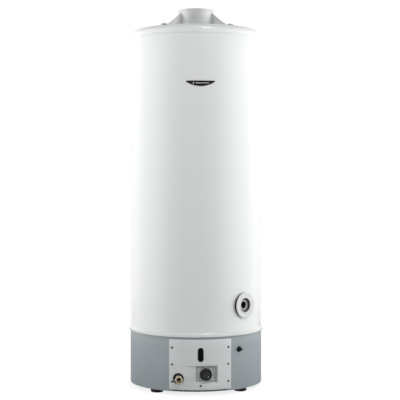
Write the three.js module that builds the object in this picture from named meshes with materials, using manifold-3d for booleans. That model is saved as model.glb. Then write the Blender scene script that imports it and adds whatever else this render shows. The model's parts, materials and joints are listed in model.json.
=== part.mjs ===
// A floor-standing gas storage water heater, in millimetres, with +Z up.
// The front faces -Y, and the origin is on the floor under the jacket's axis.
// Angles around the heater are in degrees from the front, positive towards +X.

import * as THREE from "three";
import { mergeVertices } from "three/addons/utils/BufferGeometryUtils.js";
import Module from "manifold-3d";

const wasm = await Module();
wasm.setup();

// Driving dimensions.

const footHeight = 15;
const footRadius = 23.5;
const footInset = 33;
const studRadius = 4;

const bodyRadius = 250;
const baseHeight = 197.5;
const jacketHeight = 1094.5;
const sheet = 1.2;
const lipFlare = 5;
const lipHeight = 9.5;
const skirtInset = 0.4;
const skirtTuck = 6.5;
const railLap = 10;
const railInset = 0.6;
const panRim = 28;
const airHoleRadius = 70;

const lidInset = 1.5;
const lidTuck = 8;
const lidRim = 9;
const shoulderRadius = 28;

const panelHalfAngle = 26.5;
const panelHeight = 182;
const panelLift = 7;
const panelProud = 2.5;
const skirtOpeningHalfAngle = 22.9;
const screwAngle = 23.85;
const screwHeights = [28.5, 90.7, 152];
const lowerScrewHeight = 15.3;
const screwRadius = 1.8;
const screwHeadRadius = 4;

const recessFrom = -13.75;
const recessTo = 14.1;
const rampTo = -4.1;
const recessLift = 24;
const recessHeight = 62;
const recessDepth = 7;

const controlDepth = 69;
const controlWidth = 64;
const controlHeight = 50;
const knobRadius = 21.75;
const knobDepth = 15.5;
const knobOffset = -3;
const knobTravel = 5;
const spindleRadius = 4;

const sightWidth = 21;
const sightHeight = 51;
const sightLift = 127;

const inletAngle = -18.4;
const inletLift = 40.5;
const inletPipeRadius = 7.5;
const grommetRadius = 20.25;
const grommetNeck = 16.7;
const grommetBore = 10.2;
const unionAcrossFlats = 25;
const unionBore = 9.6;
const unionLength = 26;
const unionStandoff = 10.5;

const igniterAngle = 35;
const igniterHeight = 162;
const igniterFlangeRadius = 11.5;
const igniterBarrel = 8;
const buttonRadius = 4.5;
const buttonTravel = 7;
const buttonProud = 14.6;

const tankRadius = 222;
const tankWall = 2.5;
const tankLength = 980;
const tankLift = 32.5;
const flueRadius = 50;
const flueRise = 8;

const coldPort = { name: "cold", angle: 40.5, height: 321 };
const hotPort = { name: "hot", angle: 180, height: 1160 };
const socketRadius = 17.5;
const socketBore = 12.5;
const portHole = 26;
const portRingRadius = 46.5;
const portRingProud = 10;

const badgeWidth = 104;
const badgeHeight = 19.7;
const badgeDrop = 171.7;

const anode = { angle: 150, circle: 120, radius: 11, length: 500 };

const hoodRadius = 67.5;
const hoodHeight = 61;
const hoodBead = 1.1;
const hoodAirGap = 18;
const hoodFootCircle = 141;
const hoodLegAngles = [60, 180, -60];
const spacerRadius = 10;

// Clearances: between touching pieces, around a fixed shaft, and around a moving one.

const touch = 0.3;
const holeGap = 0.3;
const slideGap = 0.3;

// Facets around a full turn.

const wide = 48;
const medium = 24;
const small = 16;

// Levels that follow from the driving dimensions.

const footCircle = bodyRadius - footInset;
const baseBottom = footHeight;
const jacketBottom = baseBottom + baseHeight;
const jacketTop = jacketBottom + jacketHeight;
const skirtRadius = bodyRadius - skirtInset;
const skirtTop = jacketBottom + skirtTuck;
const panRadius = skirtRadius - sheet - 0.9;
const panelRadius = bodyRadius + panelProud;
const panelBottom = baseBottom + panelLift;
const panelTop = panelBottom + panelHeight;
const panelBack = skirtRadius + 0.8;
const recessBottom = panelBottom + recessLift;
const recessTop = recessBottom + recessHeight;
const recessFloor = panelRadius - recessDepth;
const windowBottom = recessBottom + 3.5;
const windowTop = recessTop - 1;
const controlAngle = (rampTo + recessTo) / 2;
const controlZ = (windowBottom + windowTop) / 2;
const windowHalfWidth = recessFloor * Math.sin(radians((recessTo - rampTo) / 2)) - 0.8;
const faceplateFront = recessFloor - 2.3;
const faceplateBack = faceplateFront - 3.7;
const lidRadius = bodyRadius - lidInset;
const lidTop = jacketTop + lidRim + shoulderRadius;
const tankBottom = jacketBottom + tankLift;
const tankTop = tankBottom + tankLength;
const domeTop = tankTop + 43;
const chamberRadius = tankRadius - 13.7;
const flueTop = lidTop + flueRise;
const hoodBottom = lidTop + hoodAirGap;
const hoodTop = hoodBottom + hoodHeight;

// How far the tools that cut holes through the outer walls reach, from the heater's axis.

const cutFrom = bodyRadius - 20;
const cutTo = bodyRadius + 20;

// Helpers: shapes, placing and cutting.

function radians(degrees) {
  return THREE.MathUtils.degToRad(degrees);
}

// One vertex per corner, and no triangle that has lost a corner at the axis.
function closed(geometry) {
  const bare = geometry.index ? geometry.toNonIndexed() : geometry.clone();
  bare.deleteAttribute("normal");
  bare.deleteAttribute("uv");
  const merged = mergeVertices(bare, 1e-3);
  const corners = merged.index.array;
  const kept = [];
  for (let i = 0; i < corners.length; i += 3) {
    const [a, b, c] = corners.slice(i, i + 3);
    if (a !== b && b !== c && c !== a) kept.push(a, b, c);
  }
  merged.setIndex(kept);
  return merged;
}

function solid(geometry) {
  const bare = closed(geometry);
  return new wasm.Manifold(
    new wasm.Mesh({
      numProp: 3,
      vertProperties: bare.attributes.position.array,
      triVerts: new Uint32Array(bare.index.array),
    }),
  );
}

function surface(manifold) {
  const mesh = manifold.getMesh();
  const geometry = new THREE.BufferGeometry();
  geometry.setAttribute("position", new THREE.BufferAttribute(mesh.vertProperties, 3));
  geometry.setIndex(new THREE.BufferAttribute(mesh.triVerts, 1));
  return geometry;
}

function cut(body, ...tools) {
  return surface(tools.reduce((left, tool) => left.subtract(solid(tool)), solid(body)));
}

function joined(body, ...others) {
  return surface(others.reduce((whole, other) => whole.add(solid(other)), solid(body)));
}

function shared(body, other) {
  return surface(solid(body).intersect(solid(other)));
}

// A profile of [radius, height] turned about +Z, its points listed with the material on their left.
function turned(profile, facets) {
  const points = profile.map(([radius, height]) => new THREE.Vector2(radius, height));
  if (profile[0][0] > 0) points.push(points[0].clone());
  return closed(new THREE.LatheGeometry(points, facets).rotateX(Math.PI / 2));
}

function rod(radius, bottom, top, facets = small) {
  return turned([[0, bottom], [radius, bottom], [radius, top], [0, top]], facets);
}

function ring(inner, outer, bottom, top, facets = small) {
  return turned([[inner, bottom], [outer, bottom], [outer, top], [inner, top]], facets);
}

// A curved wall between two angles and two levels.
function sector(inner, outer, from, to, bottom, top) {
  const start = radians(from - 90);
  const end = radians(to - 90);
  const outline = new THREE.Shape();
  outline.absarc(0, 0, outer, start, end, false);
  outline.absarc(0, 0, inner, end, start, true);
  const facets = Math.max(1, Math.round(((to - from) / 360) * wide * 0.5));
  return prism(outline, bottom, top, facets);
}

function prism(outline, bottom, top, facets = 4) {
  const options = { depth: top - bottom, bevelEnabled: false, curveSegments: facets };
  return new THREE.ExtrudeGeometry(outline, options).translate(0, 0, bottom);
}

function roundedOutline(width, height, corner) {
  const x = width / 2;
  const y = height / 2;
  const outline = new THREE.Shape();
  outline.absarc(x - corner, y - corner, corner, 0, Math.PI / 2, false);
  outline.absarc(corner - x, y - corner, corner, Math.PI / 2, Math.PI, false);
  outline.absarc(corner - x, corner - y, corner, Math.PI, 1.5 * Math.PI, false);
  outline.absarc(x - corner, corner - y, corner, 1.5 * Math.PI, 2 * Math.PI, false);
  return outline;
}

function hexagon(acrossFlats) {
  const outline = new THREE.Shape();
  const corner = acrossFlats / Math.sqrt(3);
  for (let i = 0; i < 6; i++) {
    const turn = (i * Math.PI) / 3;
    outline[i ? "lineTo" : "moveTo"](corner * Math.cos(turn), corner * Math.sin(turn));
  }
  return outline;
}

// A point of the heater by its angle from the front, its distance from the axis and its height.
function at(angle, distance, z) {
  const turn = radians(angle);
  return new THREE.Vector3(distance * Math.sin(turn), -distance * Math.cos(turn), z);
}

// A point given beside, above and out along the gas control's own axis.
function atControl(beside, z, distance) {
  const turn = radians(controlAngle);
  const along = new THREE.Vector3(Math.cos(turn), Math.sin(turn), 0).multiplyScalar(beside);
  return at(controlAngle, distance, z).add(along);
}

// In a station's frame x runs to the right, y up, and z out from the heater's axis.
function stationGroup(angle, height) {
  const group = new THREE.Group();
  group.rotation.set(Math.PI / 2, 0, radians(angle), "ZXY");
  group.position.z = height;
  group.updateMatrix();
  return group;
}

function station(angle, height, ...meshes) {
  return stationGroup(angle, height).add(...meshes);
}

function inStation(geometry, angle, height) {
  return geometry.applyMatrix4(stationGroup(angle, height).matrix);
}

// A tube or rod along straight stretches whose corners are rounded.
function tube(points, outer, inner, bend, facets) {
  const path = new THREE.CurvePath();
  let from = points[0];
  for (let i = 1; i < points.length; i++) {
    const corner = points[i];
    const next = points[i + 1];
    if (!next) {
      path.add(new THREE.LineCurve3(from, corner));
      break;
    }
    const before = corner.clone().add(from.clone().sub(corner).setLength(bend));
    const after = corner.clone().add(next.clone().sub(corner).setLength(bend));
    path.add(new THREE.LineCurve3(from, before));
    path.add(new THREE.QuadraticBezierCurve3(before, corner, after));
    from = after;
  }
  const section = new THREE.Shape();
  section.absarc(0, 0, outer, 0, 2 * Math.PI, false);
  if (inner > 0) {
    const bore = new THREE.Path();
    bore.absarc(0, 0, inner, 0, 2 * Math.PI, true);
    section.holes.push(bore);
  }
  const steps = Math.round(path.getLength() / Math.max(12, outer * 2));
  const options = { steps, curveSegments: facets / 2, extrudePath: path };
  return closed(new THREE.ExtrudeGeometry(section, options));
}

class Helix extends THREE.Curve {
  constructor(radius, length, turns) {
    super();
    Object.assign(this, { radius, length, turns });
  }

  getPoint(t, target = new THREE.Vector3()) {
    const turn = 2 * Math.PI * this.turns * t;
    return target.set(this.radius * Math.cos(turn), this.radius * Math.sin(turn), this.length * t);
  }
}

function spring(radius, wire, bottom, top, turns) {
  const length = top - bottom - 2 * wire;
  const section = new THREE.Shape();
  section.absarc(0, 0, wire, 0, 2 * Math.PI, false);
  const path = new Helix(radius, length, turns);
  const options = { steps: turns * 10, curveSegments: 2, extrudePath: path };
  return closed(new THREE.ExtrudeGeometry(section, options)).translate(0, 0, bottom + wire);
}

// Finishes.

function finish(color, roughness, metalness = 0) {
  return new THREE.MeshStandardMaterial({ color, roughness, metalness });
}

const whiteEnamel = finish(0xeef0ef, 0.3);
const greyEnamel = finish(0x929ca2, 0.45);
const panelSheet = finish(0xc3c8c9, 0.45, 0.3);
const galvanised = finish(0xb4b6b7, 0.4, 0.8);
const blackPlastic = finish(0x16181b, 0.4);
const greyPlastic = finish(0xa6abab, 0.5);
const whitePlastic = finish(0xeceeed, 0.4);
const rubber = finish(0x2b2c2e, 0.85);
const screwSteel = finish(0x3d4043, 0.4, 0.9);
const brass = finish(0xc9a24f, 0.3, 1);
const castMetal = finish(0x9a9da0, 0.6, 0.8);
const tankSteel = finish(0x5d6468, 0.6, 0.4);
const foam = finish(0xe2d6a6, 0.95);
const castIron = finish(0x3a3a3b, 0.8, 0.5);
const copper = finish(0xb87333, 0.35, 1);
const darkGlass = finish(0x07090b, 0.1);
const magnesium = finish(0xa7a9a6, 0.6, 0.7);

function mesh(name, geometry, material) {
  const made = new THREE.Mesh(geometry, material);
  made.name = name;
  return made;
}

// Outer shell: jacket, lid, skirt, pan and feet.

function makeJacket() {
  const r = bodyRadius;
  const wrapped = turned(
    [
      [r + lipFlare, jacketBottom],
      [r + lipFlare, jacketBottom + lipHeight],
      [r, jacketBottom + lipHeight + lipFlare],
      [r, jacketTop],
      [r - sheet, jacketTop],
      [r - sheet, jacketBottom + lipHeight + lipFlare - sheet / 2],
      [r + lipFlare - sheet, jacketBottom + lipHeight - sheet / 2],
      [r + lipFlare - sheet, jacketBottom],
    ],
    wide,
  );
  const holes = [coldPort, hotPort].map((port) =>
    inStation(rod(portHole + 0.5, cutFrom, cutTo, 28), port.angle, port.height),
  );
  return mesh("jacket", cut(wrapped, ...holes), whiteEnamel);
}

function makeTopCover() {
  const rimTop = jacketTop + lidRim;
  const outside = [];
  const inside = [];
  const steps = 4;
  for (let i = 0; i <= steps; i++) {
    const turn = (i / steps) * (Math.PI / 2);
    const reach = lidRadius - shoulderRadius;
    outside.push([reach + shoulderRadius * Math.cos(turn), rimTop + shoulderRadius * Math.sin(turn)]);
    const inner = shoulderRadius - sheet;
    if (i % 2) continue;
    inside.unshift([reach + inner * Math.cos(turn), rimTop + inner * Math.sin(turn)]);
  }
  const flueHole = flueRadius + 2.3;
  const shell = turned(
    [
      [lidRadius, jacketTop - lidTuck],
      ...outside,
      [flueHole, lidTop],
      [flueHole, lidTop - sheet],
      ...inside,
      [lidRadius - sheet, jacketTop - lidTuck],
    ],
    wide,
  );
  const screwHoles = hoodLegAngles.map((angle) => {
    const place = at(angle, hoodFootCircle, 0);
    return rod(2.5 + holeGap, lidTop - 10, lidTop + 5).translate(place.x, place.y, 0);
  });
  return mesh("top_cover", cut(shell, ...screwHoles), whiteEnamel);
}

function panelScrewPlaces() {
  const sides = [-screwAngle, screwAngle].flatMap((angle) =>
    screwHeights.map((height) => ({ angle, z: panelBottom + height })),
  );
  return [...sides, { angle: 0, z: panelBottom + lowerScrewHeight }];
}

// A rail across the top of the skirt's opening closes the gap above the access panel.
function makeBaseSkirt() {
  const inner = skirtRadius - sheet;
  const opening = skirtOpeningHalfAngle;
  const wall = sector(inner, skirtRadius, opening, 360 - opening, baseBottom, skirtTop);
  const rail = sector(
    inner - railInset,
    skirtRadius - railInset,
    -panelHalfAngle,
    panelHalfAngle,
    panelTop - railLap,
    skirtTop,
  );
  const holes = panelScrewPlaces()
    .filter((place) => place.angle !== 0)
    .map((place) => inStation(rod(screwRadius + holeGap, cutFrom, cutTo, 12), place.angle, place.z));
  holes.push(inStation(rod(igniterBarrel + 0.6, cutFrom, cutTo), igniterAngle, igniterHeight));
  return mesh("base_skirt", cut(joined(wall, rail), ...holes), greyEnamel);
}

function makeBasePan() {
  const dish = turned(
    [
      [airHoleRadius, baseBottom],
      [panRadius, baseBottom],
      [panRadius, baseBottom + panRim],
      [panRadius - 1.5, baseBottom + panRim],
      [panRadius - 1.5, baseBottom + 1.5],
      [airHoleRadius, baseBottom + 1.5],
    ],
    wide,
  );
  const studHoles = [45, 135, 225, 315].map((angle) => {
    const place = at(angle, footCircle, 0);
    return rod(studRadius + 0.5, baseBottom - 5, baseBottom + 10, 12).translate(place.x, place.y, 0);
  });
  const screwHole = rod(screwRadius + holeGap, cutFrom, cutTo, 12);
  const front = inStation(screwHole, 0, panelBottom + lowerScrewHeight);
  return mesh("base_pan", cut(dish, ...studHoles, front), tankSteel);
}

function makeFeet() {
  return [-45, 45, 135, 225].map((angle, i) => {
    const pad = turned(
      [
        [0, 0],
        [footRadius - 2, 0],
        [footRadius, 3],
        [footRadius, footHeight - touch],
        [studRadius, footHeight - touch],
        [studRadius, footHeight + 9],
        [0, footHeight + 9],
      ],
      16,
    );
    const foot = mesh("foot_" + (i + 1), pad, rubber);
    foot.position.copy(at(angle, footCircle, 0));
    return foot;
  });
}

// Access panel: curved sheet with side flanges, a pressed recess and its holes.

// The recess seen from above: a ramp from the panel's face down to its floor.
function recessOutline(floor, wall, reach) {
  const outline = new THREE.Shape();
  const step = THREE.MathUtils.radToDeg(wall / bodyRadius);
  const top = at(recessFrom - step, reach, 0);
  const start = at(recessFrom - step, panelRadius - wall, 0);
  const foot = at(rampTo, floor - wall, 0);
  outline.moveTo(top.x, top.y);
  outline.lineTo(start.x, start.y);
  outline.lineTo(foot.x, foot.y);
  const from = radians(rampTo - 90);
  const to = radians(recessTo + step - 90);
  outline.absarc(0, 0, floor - wall, from, to, false);
  outline.absarc(0, 0, reach, to, radians(recessFrom - step - 90), true);
  return outline;
}

function makeFrontPanel() {
  const flange = THREE.MathUtils.radToDeg(sheet / bodyRadius);
  const half = panelHalfAngle;
  const slab = sector(panelBack, panelRadius, -half, half, panelBottom, panelTop);
  const hollow = sector(
    panelBack - 20,
    panelRadius - sheet,
    flange - half,
    half - flange,
    panelBottom + sheet,
    panelTop - sheet,
  );
  const tray = prism(
    recessOutline(recessFloor, sheet, panelRadius - 0.2),
    recessBottom - sheet,
    recessTop + sheet,
    3,
  );
  const scoop = prism(recessOutline(recessFloor, 0, panelRadius + 30), recessBottom, recessTop, 3);
  const shell = cut(slab, hollow);
  const pressed = cut(joined(shell, tray), scoop);
  const window = inStation(
    prism(roundedOutline(2 * windowHalfWidth + 1, windowTop - windowBottom, 1), cutFrom - 10, cutTo),
    controlAngle,
    controlZ,
  );
  const slot = inStation(
    prism(roundedOutline(sightWidth + 0.6, sightHeight + 0.6, sightWidth / 2), cutFrom, cutTo, 3),
    0,
    panelBottom + sightLift,
  );
  const inletHole = rod(grommetNeck + 0.5, cutFrom, cutTo, medium);
  const inlet = inStation(inletHole, inletAngle, panelBottom + inletLift);
  const screwHoles = panelScrewPlaces().map((place) =>
    inStation(rod(screwRadius + 0.4, cutFrom, cutTo, 12), place.angle, place.z),
  );
  return mesh("front_panel", cut(pressed, window, slot, inlet, ...screwHoles), panelSheet);
}

function makePanelScrews() {
  const face = panelRadius + 0.4;
  const tip = panelRadius - 12.5;
  return panelScrewPlaces().map((place, i) => {
    const screw = turned(
      [
        [0, tip],
        [screwRadius, tip],
        [screwRadius, face],
        [screwHeadRadius, face],
        [screwHeadRadius - 1, face + 2.1],
        [0, face + 2.1],
      ],
      12,
    );
    return station(place.angle, place.z, mesh("panel_screw_" + (i + 1), screw, screwSteel));
  });
}

function makeSightWindow() {
  const back = panelRadius - sheet - 4.8;
  const rim = roundedOutline(sightWidth, sightHeight, sightWidth / 2 - 0.2);
  const neck = prism(rim, back, panelRadius + 0.4, 3);
  const flange = prism(
    roundedOutline(sightWidth + 5, sightHeight + 5, sightWidth / 2 + 2),
    back,
    back + 1.6,
    3,
  );
  const opening = roundedOutline(sightWidth - 8, sightHeight - 8, sightWidth / 2 - 4.2);
  const frame = cut(joined(neck, flange), prism(opening, back - 5, panelRadius + 5, 3));
  const pane = roundedOutline(sightWidth - 8.6, sightHeight - 8.6, sightWidth / 2 - 4.5);
  const glass = prism(pane, back + 1, back + 4, 3);
  return station(
    0,
    panelBottom + sightLift,
    mesh("sight_frame", frame, blackPlastic),
    mesh("sight_glass", glass, darkGlass),
  );
}

// Gas control: body, faceplate, and the spindle that slides in against its spring with the knob on it.

function makeGasControl() {
  const front = faceplateBack - touch;
  const back = front - controlDepth;
  const boreBottom = front - 34;
  const tail = boreBottom + knobTravel + 3;
  const collarBack = boreBottom + touch + 20.4;
  const spindleTop = faceplateFront + knobTravel + 13.8;
  const knobBack = faceplateFront + knobTravel + 1.3;

  const block = prism(roundedOutline(controlWidth, controlHeight, 8), back, front, 3);
  const bore = rod(8, boreBottom, front + 5).translate(knobOffset, 0, 0);
  const body = cut(block, bore);

  const plate = prism(
    roundedOutline(2 * windowHalfWidth, windowTop - windowBottom - 0.8, 3),
    faceplateBack,
    faceplateFront,
    3,
  );
  const plateHole = rod(spindleRadius + slideGap, faceplateBack - 5, faceplateFront + 5);
  const faceplate = cut(plate, plateHole.translate(knobOffset, 0, 0));

  const spindle = mesh(
    "control_spindle",
    turned(
      [
        [0, tail],
        [spindleRadius, tail],
        [spindleRadius, collarBack + touch],
        [7, collarBack + touch],
        [7, collarBack + touch + 2],
        [spindleRadius, collarBack + touch + 2],
        [spindleRadius, spindleTop],
        [0, spindleTop],
      ],
      small,
    ),
    screwSteel,
  );
  const coil = spring(5.8, 0.8, boreBottom + touch, collarBack, 5);
  const knobBore = spindleRadius + slideGap;
  const knobFront = knobBack + knobDepth;
  const cap = turned(
    [
      [knobBore, knobBack],
      [knobRadius - 2.5, knobBack],
      [knobRadius, knobBack + 1.5],
      [knobRadius - 0.6, knobFront - 3],
      [knobRadius - 2.3, knobFront],
      [0, knobFront],
      [0, spindleTop + touch],
      [knobBore, spindleTop + touch],
    ],
    medium,
  );
  const pointer = new THREE.BoxGeometry(6, 5, knobDepth - 3);
  pointer.translate(0, knobRadius - 0.5, (knobBack + knobFront) / 2);
  const knob = mesh("temperature_knob", joined(cap, pointer), blackPlastic);
  for (const moving of [spindle, knob]) moving.position.x = knobOffset;
  const coilMesh = mesh("knob_spring", coil, screwSteel);
  coilMesh.position.x = knobOffset;
  return station(
    controlAngle,
    controlZ,
    mesh("gas_control_body", body, castMetal),
    mesh("gas_control_faceplate", faceplate, greyPlastic),
    spindle,
    coilMesh,
    knob,
  );
}

// Gas line: rubber grommet, inlet pipe with its collar, union nut, and the pipe on to the burner.
// The grommet sits square in the curved panel, and the pipe passes through it straight to the front.

function makeGasInlet() {
  const z = panelBottom + inletLift;
  const pipe = inletPipeRadius;
  const backLip = panelBack - 1;
  const crossing = at(inletAngle, panelRadius - 0.5, z);
  const grommet = turned(
    [
      [grommetBore, backLip - 3],
      [grommetNeck + 1.5, backLip - 3],
      [grommetNeck + 1.5, backLip],
      [grommetNeck, backLip],
      [grommetNeck, panelRadius + touch],
      [grommetRadius, panelRadius + touch],
      [grommetRadius, panelRadius + 2.5],
      [grommetRadius - 1.8, panelRadius + 4.3],
      [grommetBore, panelRadius + 4.3],
    ],
    medium,
  );
  const nutBack = unionStandoff - crossing.y;
  const nutFront = nutBack + unionLength;
  const collar = nutBack + 4.6;
  const hexCorner = unionAcrossFlats / Math.sqrt(3);
  const flats = prism(hexagon(unionAcrossFlats), nutBack, nutFront);
  const chamfer = turned(
    [
      [0, nutBack],
      [hexCorner - 1.5, nutBack],
      [hexCorner, nutBack + 1.2],
      [hexCorner, nutFront - 1.2],
      [hexCorner - 1.5, nutFront],
      [0, nutFront],
    ],
    30,
  );
  const nut = cut(
    shared(flats, chamfer),
    rod(pipe + holeGap, nutBack - 5, nutFront + 5),
    rod(unionBore, collar, nutFront + 5, medium),
  );
  const entry = faceplateBack - controlDepth / 2 - 5;
  const side = atControl(-controlWidth / 2 - 0.6, z, entry);
  const corner = side.y + (crossing.x - side.x) * Math.tan(radians(controlAngle));
  const route = [
    new THREE.Vector3(crossing.x, -collar - 1.8, z),
    new THREE.Vector3(crossing.x, corner, z),
    side,
  ];
  const run = tube(route, pipe, pipe - 2, 16, 12);
  const ferrule = inStation(ring(pipe - 1.2, unionBore - 0.5, collar + touch, collar + 3.3), 0, z);
  const union = mesh("gas_union_nut", nut, brass);
  union.position.x = crossing.x;
  return [
    station(inletAngle, z, mesh("gas_inlet_grommet", grommet, rubber)),
    station(0, z, union),
    mesh("gas_inlet_pipe", joined(run, ferrule.translate(crossing.x, 0, 0)), galvanised),
  ];
}

function makeBurner() {
  const z = controlZ;
  const controlBack = faceplateBack - touch - controlDepth - 0.6;
  const supply = tube(
    [atControl(0, z, controlBack), new THREE.Vector3(0, 0, z), new THREE.Vector3(0, 0, z + 38)],
    6,
    4,
    18,
    8,
  );
  const injector = prism(hexagon(16), z + 34, z + 48);
  const jet = rod(1.2, z + 30, z + 55, 8);
  const feed = rod(4, z + 20, z + 42, 12);
  const supplied = cut(joined(supply, injector), jet, feed);
  const venturi = z + 50;
  const head = turned(
    [
      [13, venturi],
      [18, venturi],
      [18, venturi + 24],
      [84, venturi + 32],
      [86, venturi + 46],
      [62, venturi + 54],
      [0, venturi + 56],
      [0, venturi + 52],
      [60, venturi + 50],
      [81, venturi + 43],
      [79, venturi + 36],
      [13, venturi + 29],
    ],
    20,
  );
  const ports = [];
  const portCount = 10;
  for (let i = 0; i < portCount; i++) {
    const port = new THREE.BoxGeometry(16, 3, 7);
    port.translate(84, 0, venturi + 40).rotateZ((i * 2 * Math.PI) / portCount);
    ports.push(port);
  }
  return [
    mesh("burner_supply_pipe", supplied, brass),
    mesh("burner", cut(head, ...ports), castIron),
  ];
}

// Pilot burner with its electrode beside the main burner, and the leads that run to it.
function makePilot() {
  const foot = new THREE.Vector3(46, -92, controlZ + 62);
  const hood = rod(6, 0, 40, 12).translate(foot.x, foot.y, foot.z);
  const electrode = rod(3, -6, 36, 10).translate(foot.x + 16, foot.y, foot.z);
  const bracket = new THREE.BoxGeometry(34, 10, 2).translate(foot.x + 6, foot.y, foot.z + 8);
  const pilot = mesh("pilot_burner", joined(bracket, hood, electrode), galvanised);

  const controlBack = faceplateBack - touch - controlDepth - 0.6;
  const probe = [
    new THREE.Vector3(foot.x - 14, foot.y, foot.z + 44),
    new THREE.Vector3(foot.x - 14, foot.y, foot.z - 40),
    atControl(22, controlZ + 14, controlBack),
  ];
  const lead = [
    new THREE.Vector3(foot.x + 16, foot.y, foot.z - 6.6),
    new THREE.Vector3(foot.x + 16, foot.y, foot.z - 20),
    at(20, chamberRadius - 18, controlZ + 50),
    at(24, chamberRadius + 14, controlZ + 50),
    at(igniterAngle, chamberRadius + 6, igniterHeight - 24),
    at(igniterAngle, chamberRadius + 6, igniterHeight),
    at(igniterAngle, skirtRadius - 31, igniterHeight),
  ];
  return [
    pilot,
    mesh("thermocouple", tube(probe, 2, 0, 12, 8), copper),
    mesh("ignition_lead", tube(lead, 1.8, 0, 2, 8), blackPlastic),
  ];
}

function makeThermostatProbe() {
  const rise = faceplateBack - 25;
  const route = [
    atControl(20, controlZ + controlHeight / 2 + 0.6, rise),
    atControl(20, tankBottom - 20, rise),
    at(12, tankRadius + 13, tankBottom - 6),
    at(12, tankRadius + 13, tankBottom + 55),
    at(12, tankRadius - 90, tankBottom + 55),
  ];
  return mesh("thermostat_probe", tube(route, 4, 0, 9, 8), copper);
}

// Igniter: a flanged cup through the skirt, its nut behind, and a sprung button.

function makeIgniter() {
  const face = skirtRadius + 0.6;
  const floor = face - 21 - buttonTravel;
  const bore = buttonRadius + slideGap;
  const housing = turned(
    [
      [0, floor - 3],
      [igniterBarrel, floor - 3],
      [igniterBarrel, face],
      [igniterFlangeRadius, face],
      [igniterFlangeRadius, face + 2],
      [igniterFlangeRadius - 1.5, face + 3.2],
      [bore, face + 3.2],
      [bore, floor],
      [0, floor],
    ],
    small,
  );
  const nutFront = skirtRadius - sheet - 1;
  const nutHole = rod(igniterBarrel + 0.6, nutFront - 10, nutFront + 5);
  const nut = cut(prism(hexagon(24), nutFront - 5, nutFront), nutHole);
  const buttonBack = floor + touch + 15.4;
  const buttonFront = face + 3.2 + buttonProud;
  const button = turned(
    [
      [0, buttonBack + touch],
      [buttonRadius, buttonBack + touch],
      [buttonRadius, buttonFront - 1.5],
      [buttonRadius - 1.2, buttonFront],
      [0, buttonFront],
    ],
    small,
  );
  const coil = spring(3.2, 0.5, floor + touch, buttonBack, 4);
  return station(
    igniterAngle,
    igniterHeight,
    mesh("igniter_housing", housing, blackPlastic),
    mesh("igniter_nut", nut, galvanised),
    mesh("igniter_button", button, blackPlastic),
    mesh("igniter_spring", coil, screwSteel),
  );
}

// Water ports: threaded socket on the tank, shaped gasket on the jacket, and trim ring.

function makePort(port) {
  const socket = ring(socketBore, socketRadius, tankRadius - tankWall - 3.5, bodyRadius, 28);
  const ringBack = bodyRadius + portRingProud - 3.5;
  const stock = ring(portHole + 0.5, portRingRadius - 2.5, bodyRadius - 14, ringBack - touch, medium);
  const block = inStation(stock, port.angle, port.height);
  const jacketSolid = rod(bodyRadius + 0.35, 0, jacketTop + 50, wide);
  const trim = turned(
    [
      [portHole, ringBack],
      [portRingRadius - 1.2, ringBack],
      [portRingRadius, ringBack + 1.2],
      [portRingRadius, ringBack + 2.4],
      [portRingRadius - 1.2, ringBack + 3.5],
      [portHole + 1, ringBack + 3.5],
      [portHole, ringBack + 2.5],
    ],
    medium,
  );
  return [
    mesh(port.name + "_port_gasket", cut(block, jacketSolid), rubber),
    station(
      port.angle,
      port.height,
      mesh(port.name + "_port_socket", socket, galvanised),
      mesh(port.name + "_port_ring", trim, whitePlastic),
    ),
  ];
}

// Tank, flue, baffle, insulation and anode.

function makeTank() {
  const r = tankRadius;
  const hole = flueRadius + holeGap;
  const inner = r - tankWall;
  const shell = turned(
    [
      [hole, tankBottom + 17],
      [150, tankBottom + 13],
      [r - 10, tankBottom],
      [r, tankBottom],
      [r, tankTop],
      [r - 12, tankTop + 20],
      [120, tankTop + 39],
      [hole, domeTop],
      [hole, domeTop - tankWall],
      [120, tankTop + 36.5],
      [r - 14, tankTop + 18],
      [inner, tankTop],
      [inner, tankBottom + tankWall],
      [r - 11, tankBottom + tankWall],
      [150, tankBottom + 15.5],
      [hole, tankBottom + 19.5],
    ],
    30,
  );
  const sockets = [coldPort, hotPort].map((port) =>
    inStation(rod(socketRadius + holeGap, r - 40, r + 20, 28), port.angle, port.height),
  );
  const probe = inStation(rod(4.9, r - 40, r + 20, 12), 12, tankBottom + 55);
  const place = at(anode.angle, anode.circle, 0);
  const plug = rod(anode.radius + 2.3, tankTop, domeTop + 20).translate(place.x, place.y, 0);
  return mesh("inner_tank", cut(shell, ...sockets, probe, plug), tankSteel);
}

function makeFlue() {
  const pipe = ring(flueRadius - 2.5, flueRadius, tankBottom + 8, flueTop, 30);
  const stripTop = flueTop + touch + 0.5;
  const stripBottom = tankBottom + 60;
  const length = stripTop - stripBottom;
  const strip = new THREE.BoxGeometry(2 * (flueRadius - 8), 1.5, length, 1, 1, 36);
  strip.translate(0, 0, stripBottom + length / 2);
  const corners = strip.attributes.position;
  const turns = 2.5;
  for (let i = 0; i < corners.count; i++) {
    const turn = 2 * Math.PI * turns * ((stripTop - corners.getZ(i)) / length);
    const x = corners.getX(i);
    const y = corners.getY(i);
    corners.setX(i, x * Math.cos(turn) - y * Math.sin(turn));
    corners.setY(i, x * Math.sin(turn) + y * Math.cos(turn));
  }
  const hanger = new THREE.BoxGeometry(2 * flueRadius + 4, 6, 3).translate(0, 0, flueTop + touch + 1.5);
  return [
    mesh("flue_tube", pipe, tankSteel),
    mesh("flue_baffle", joined(strip, hanger), galvanised),
  ];
}

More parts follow.
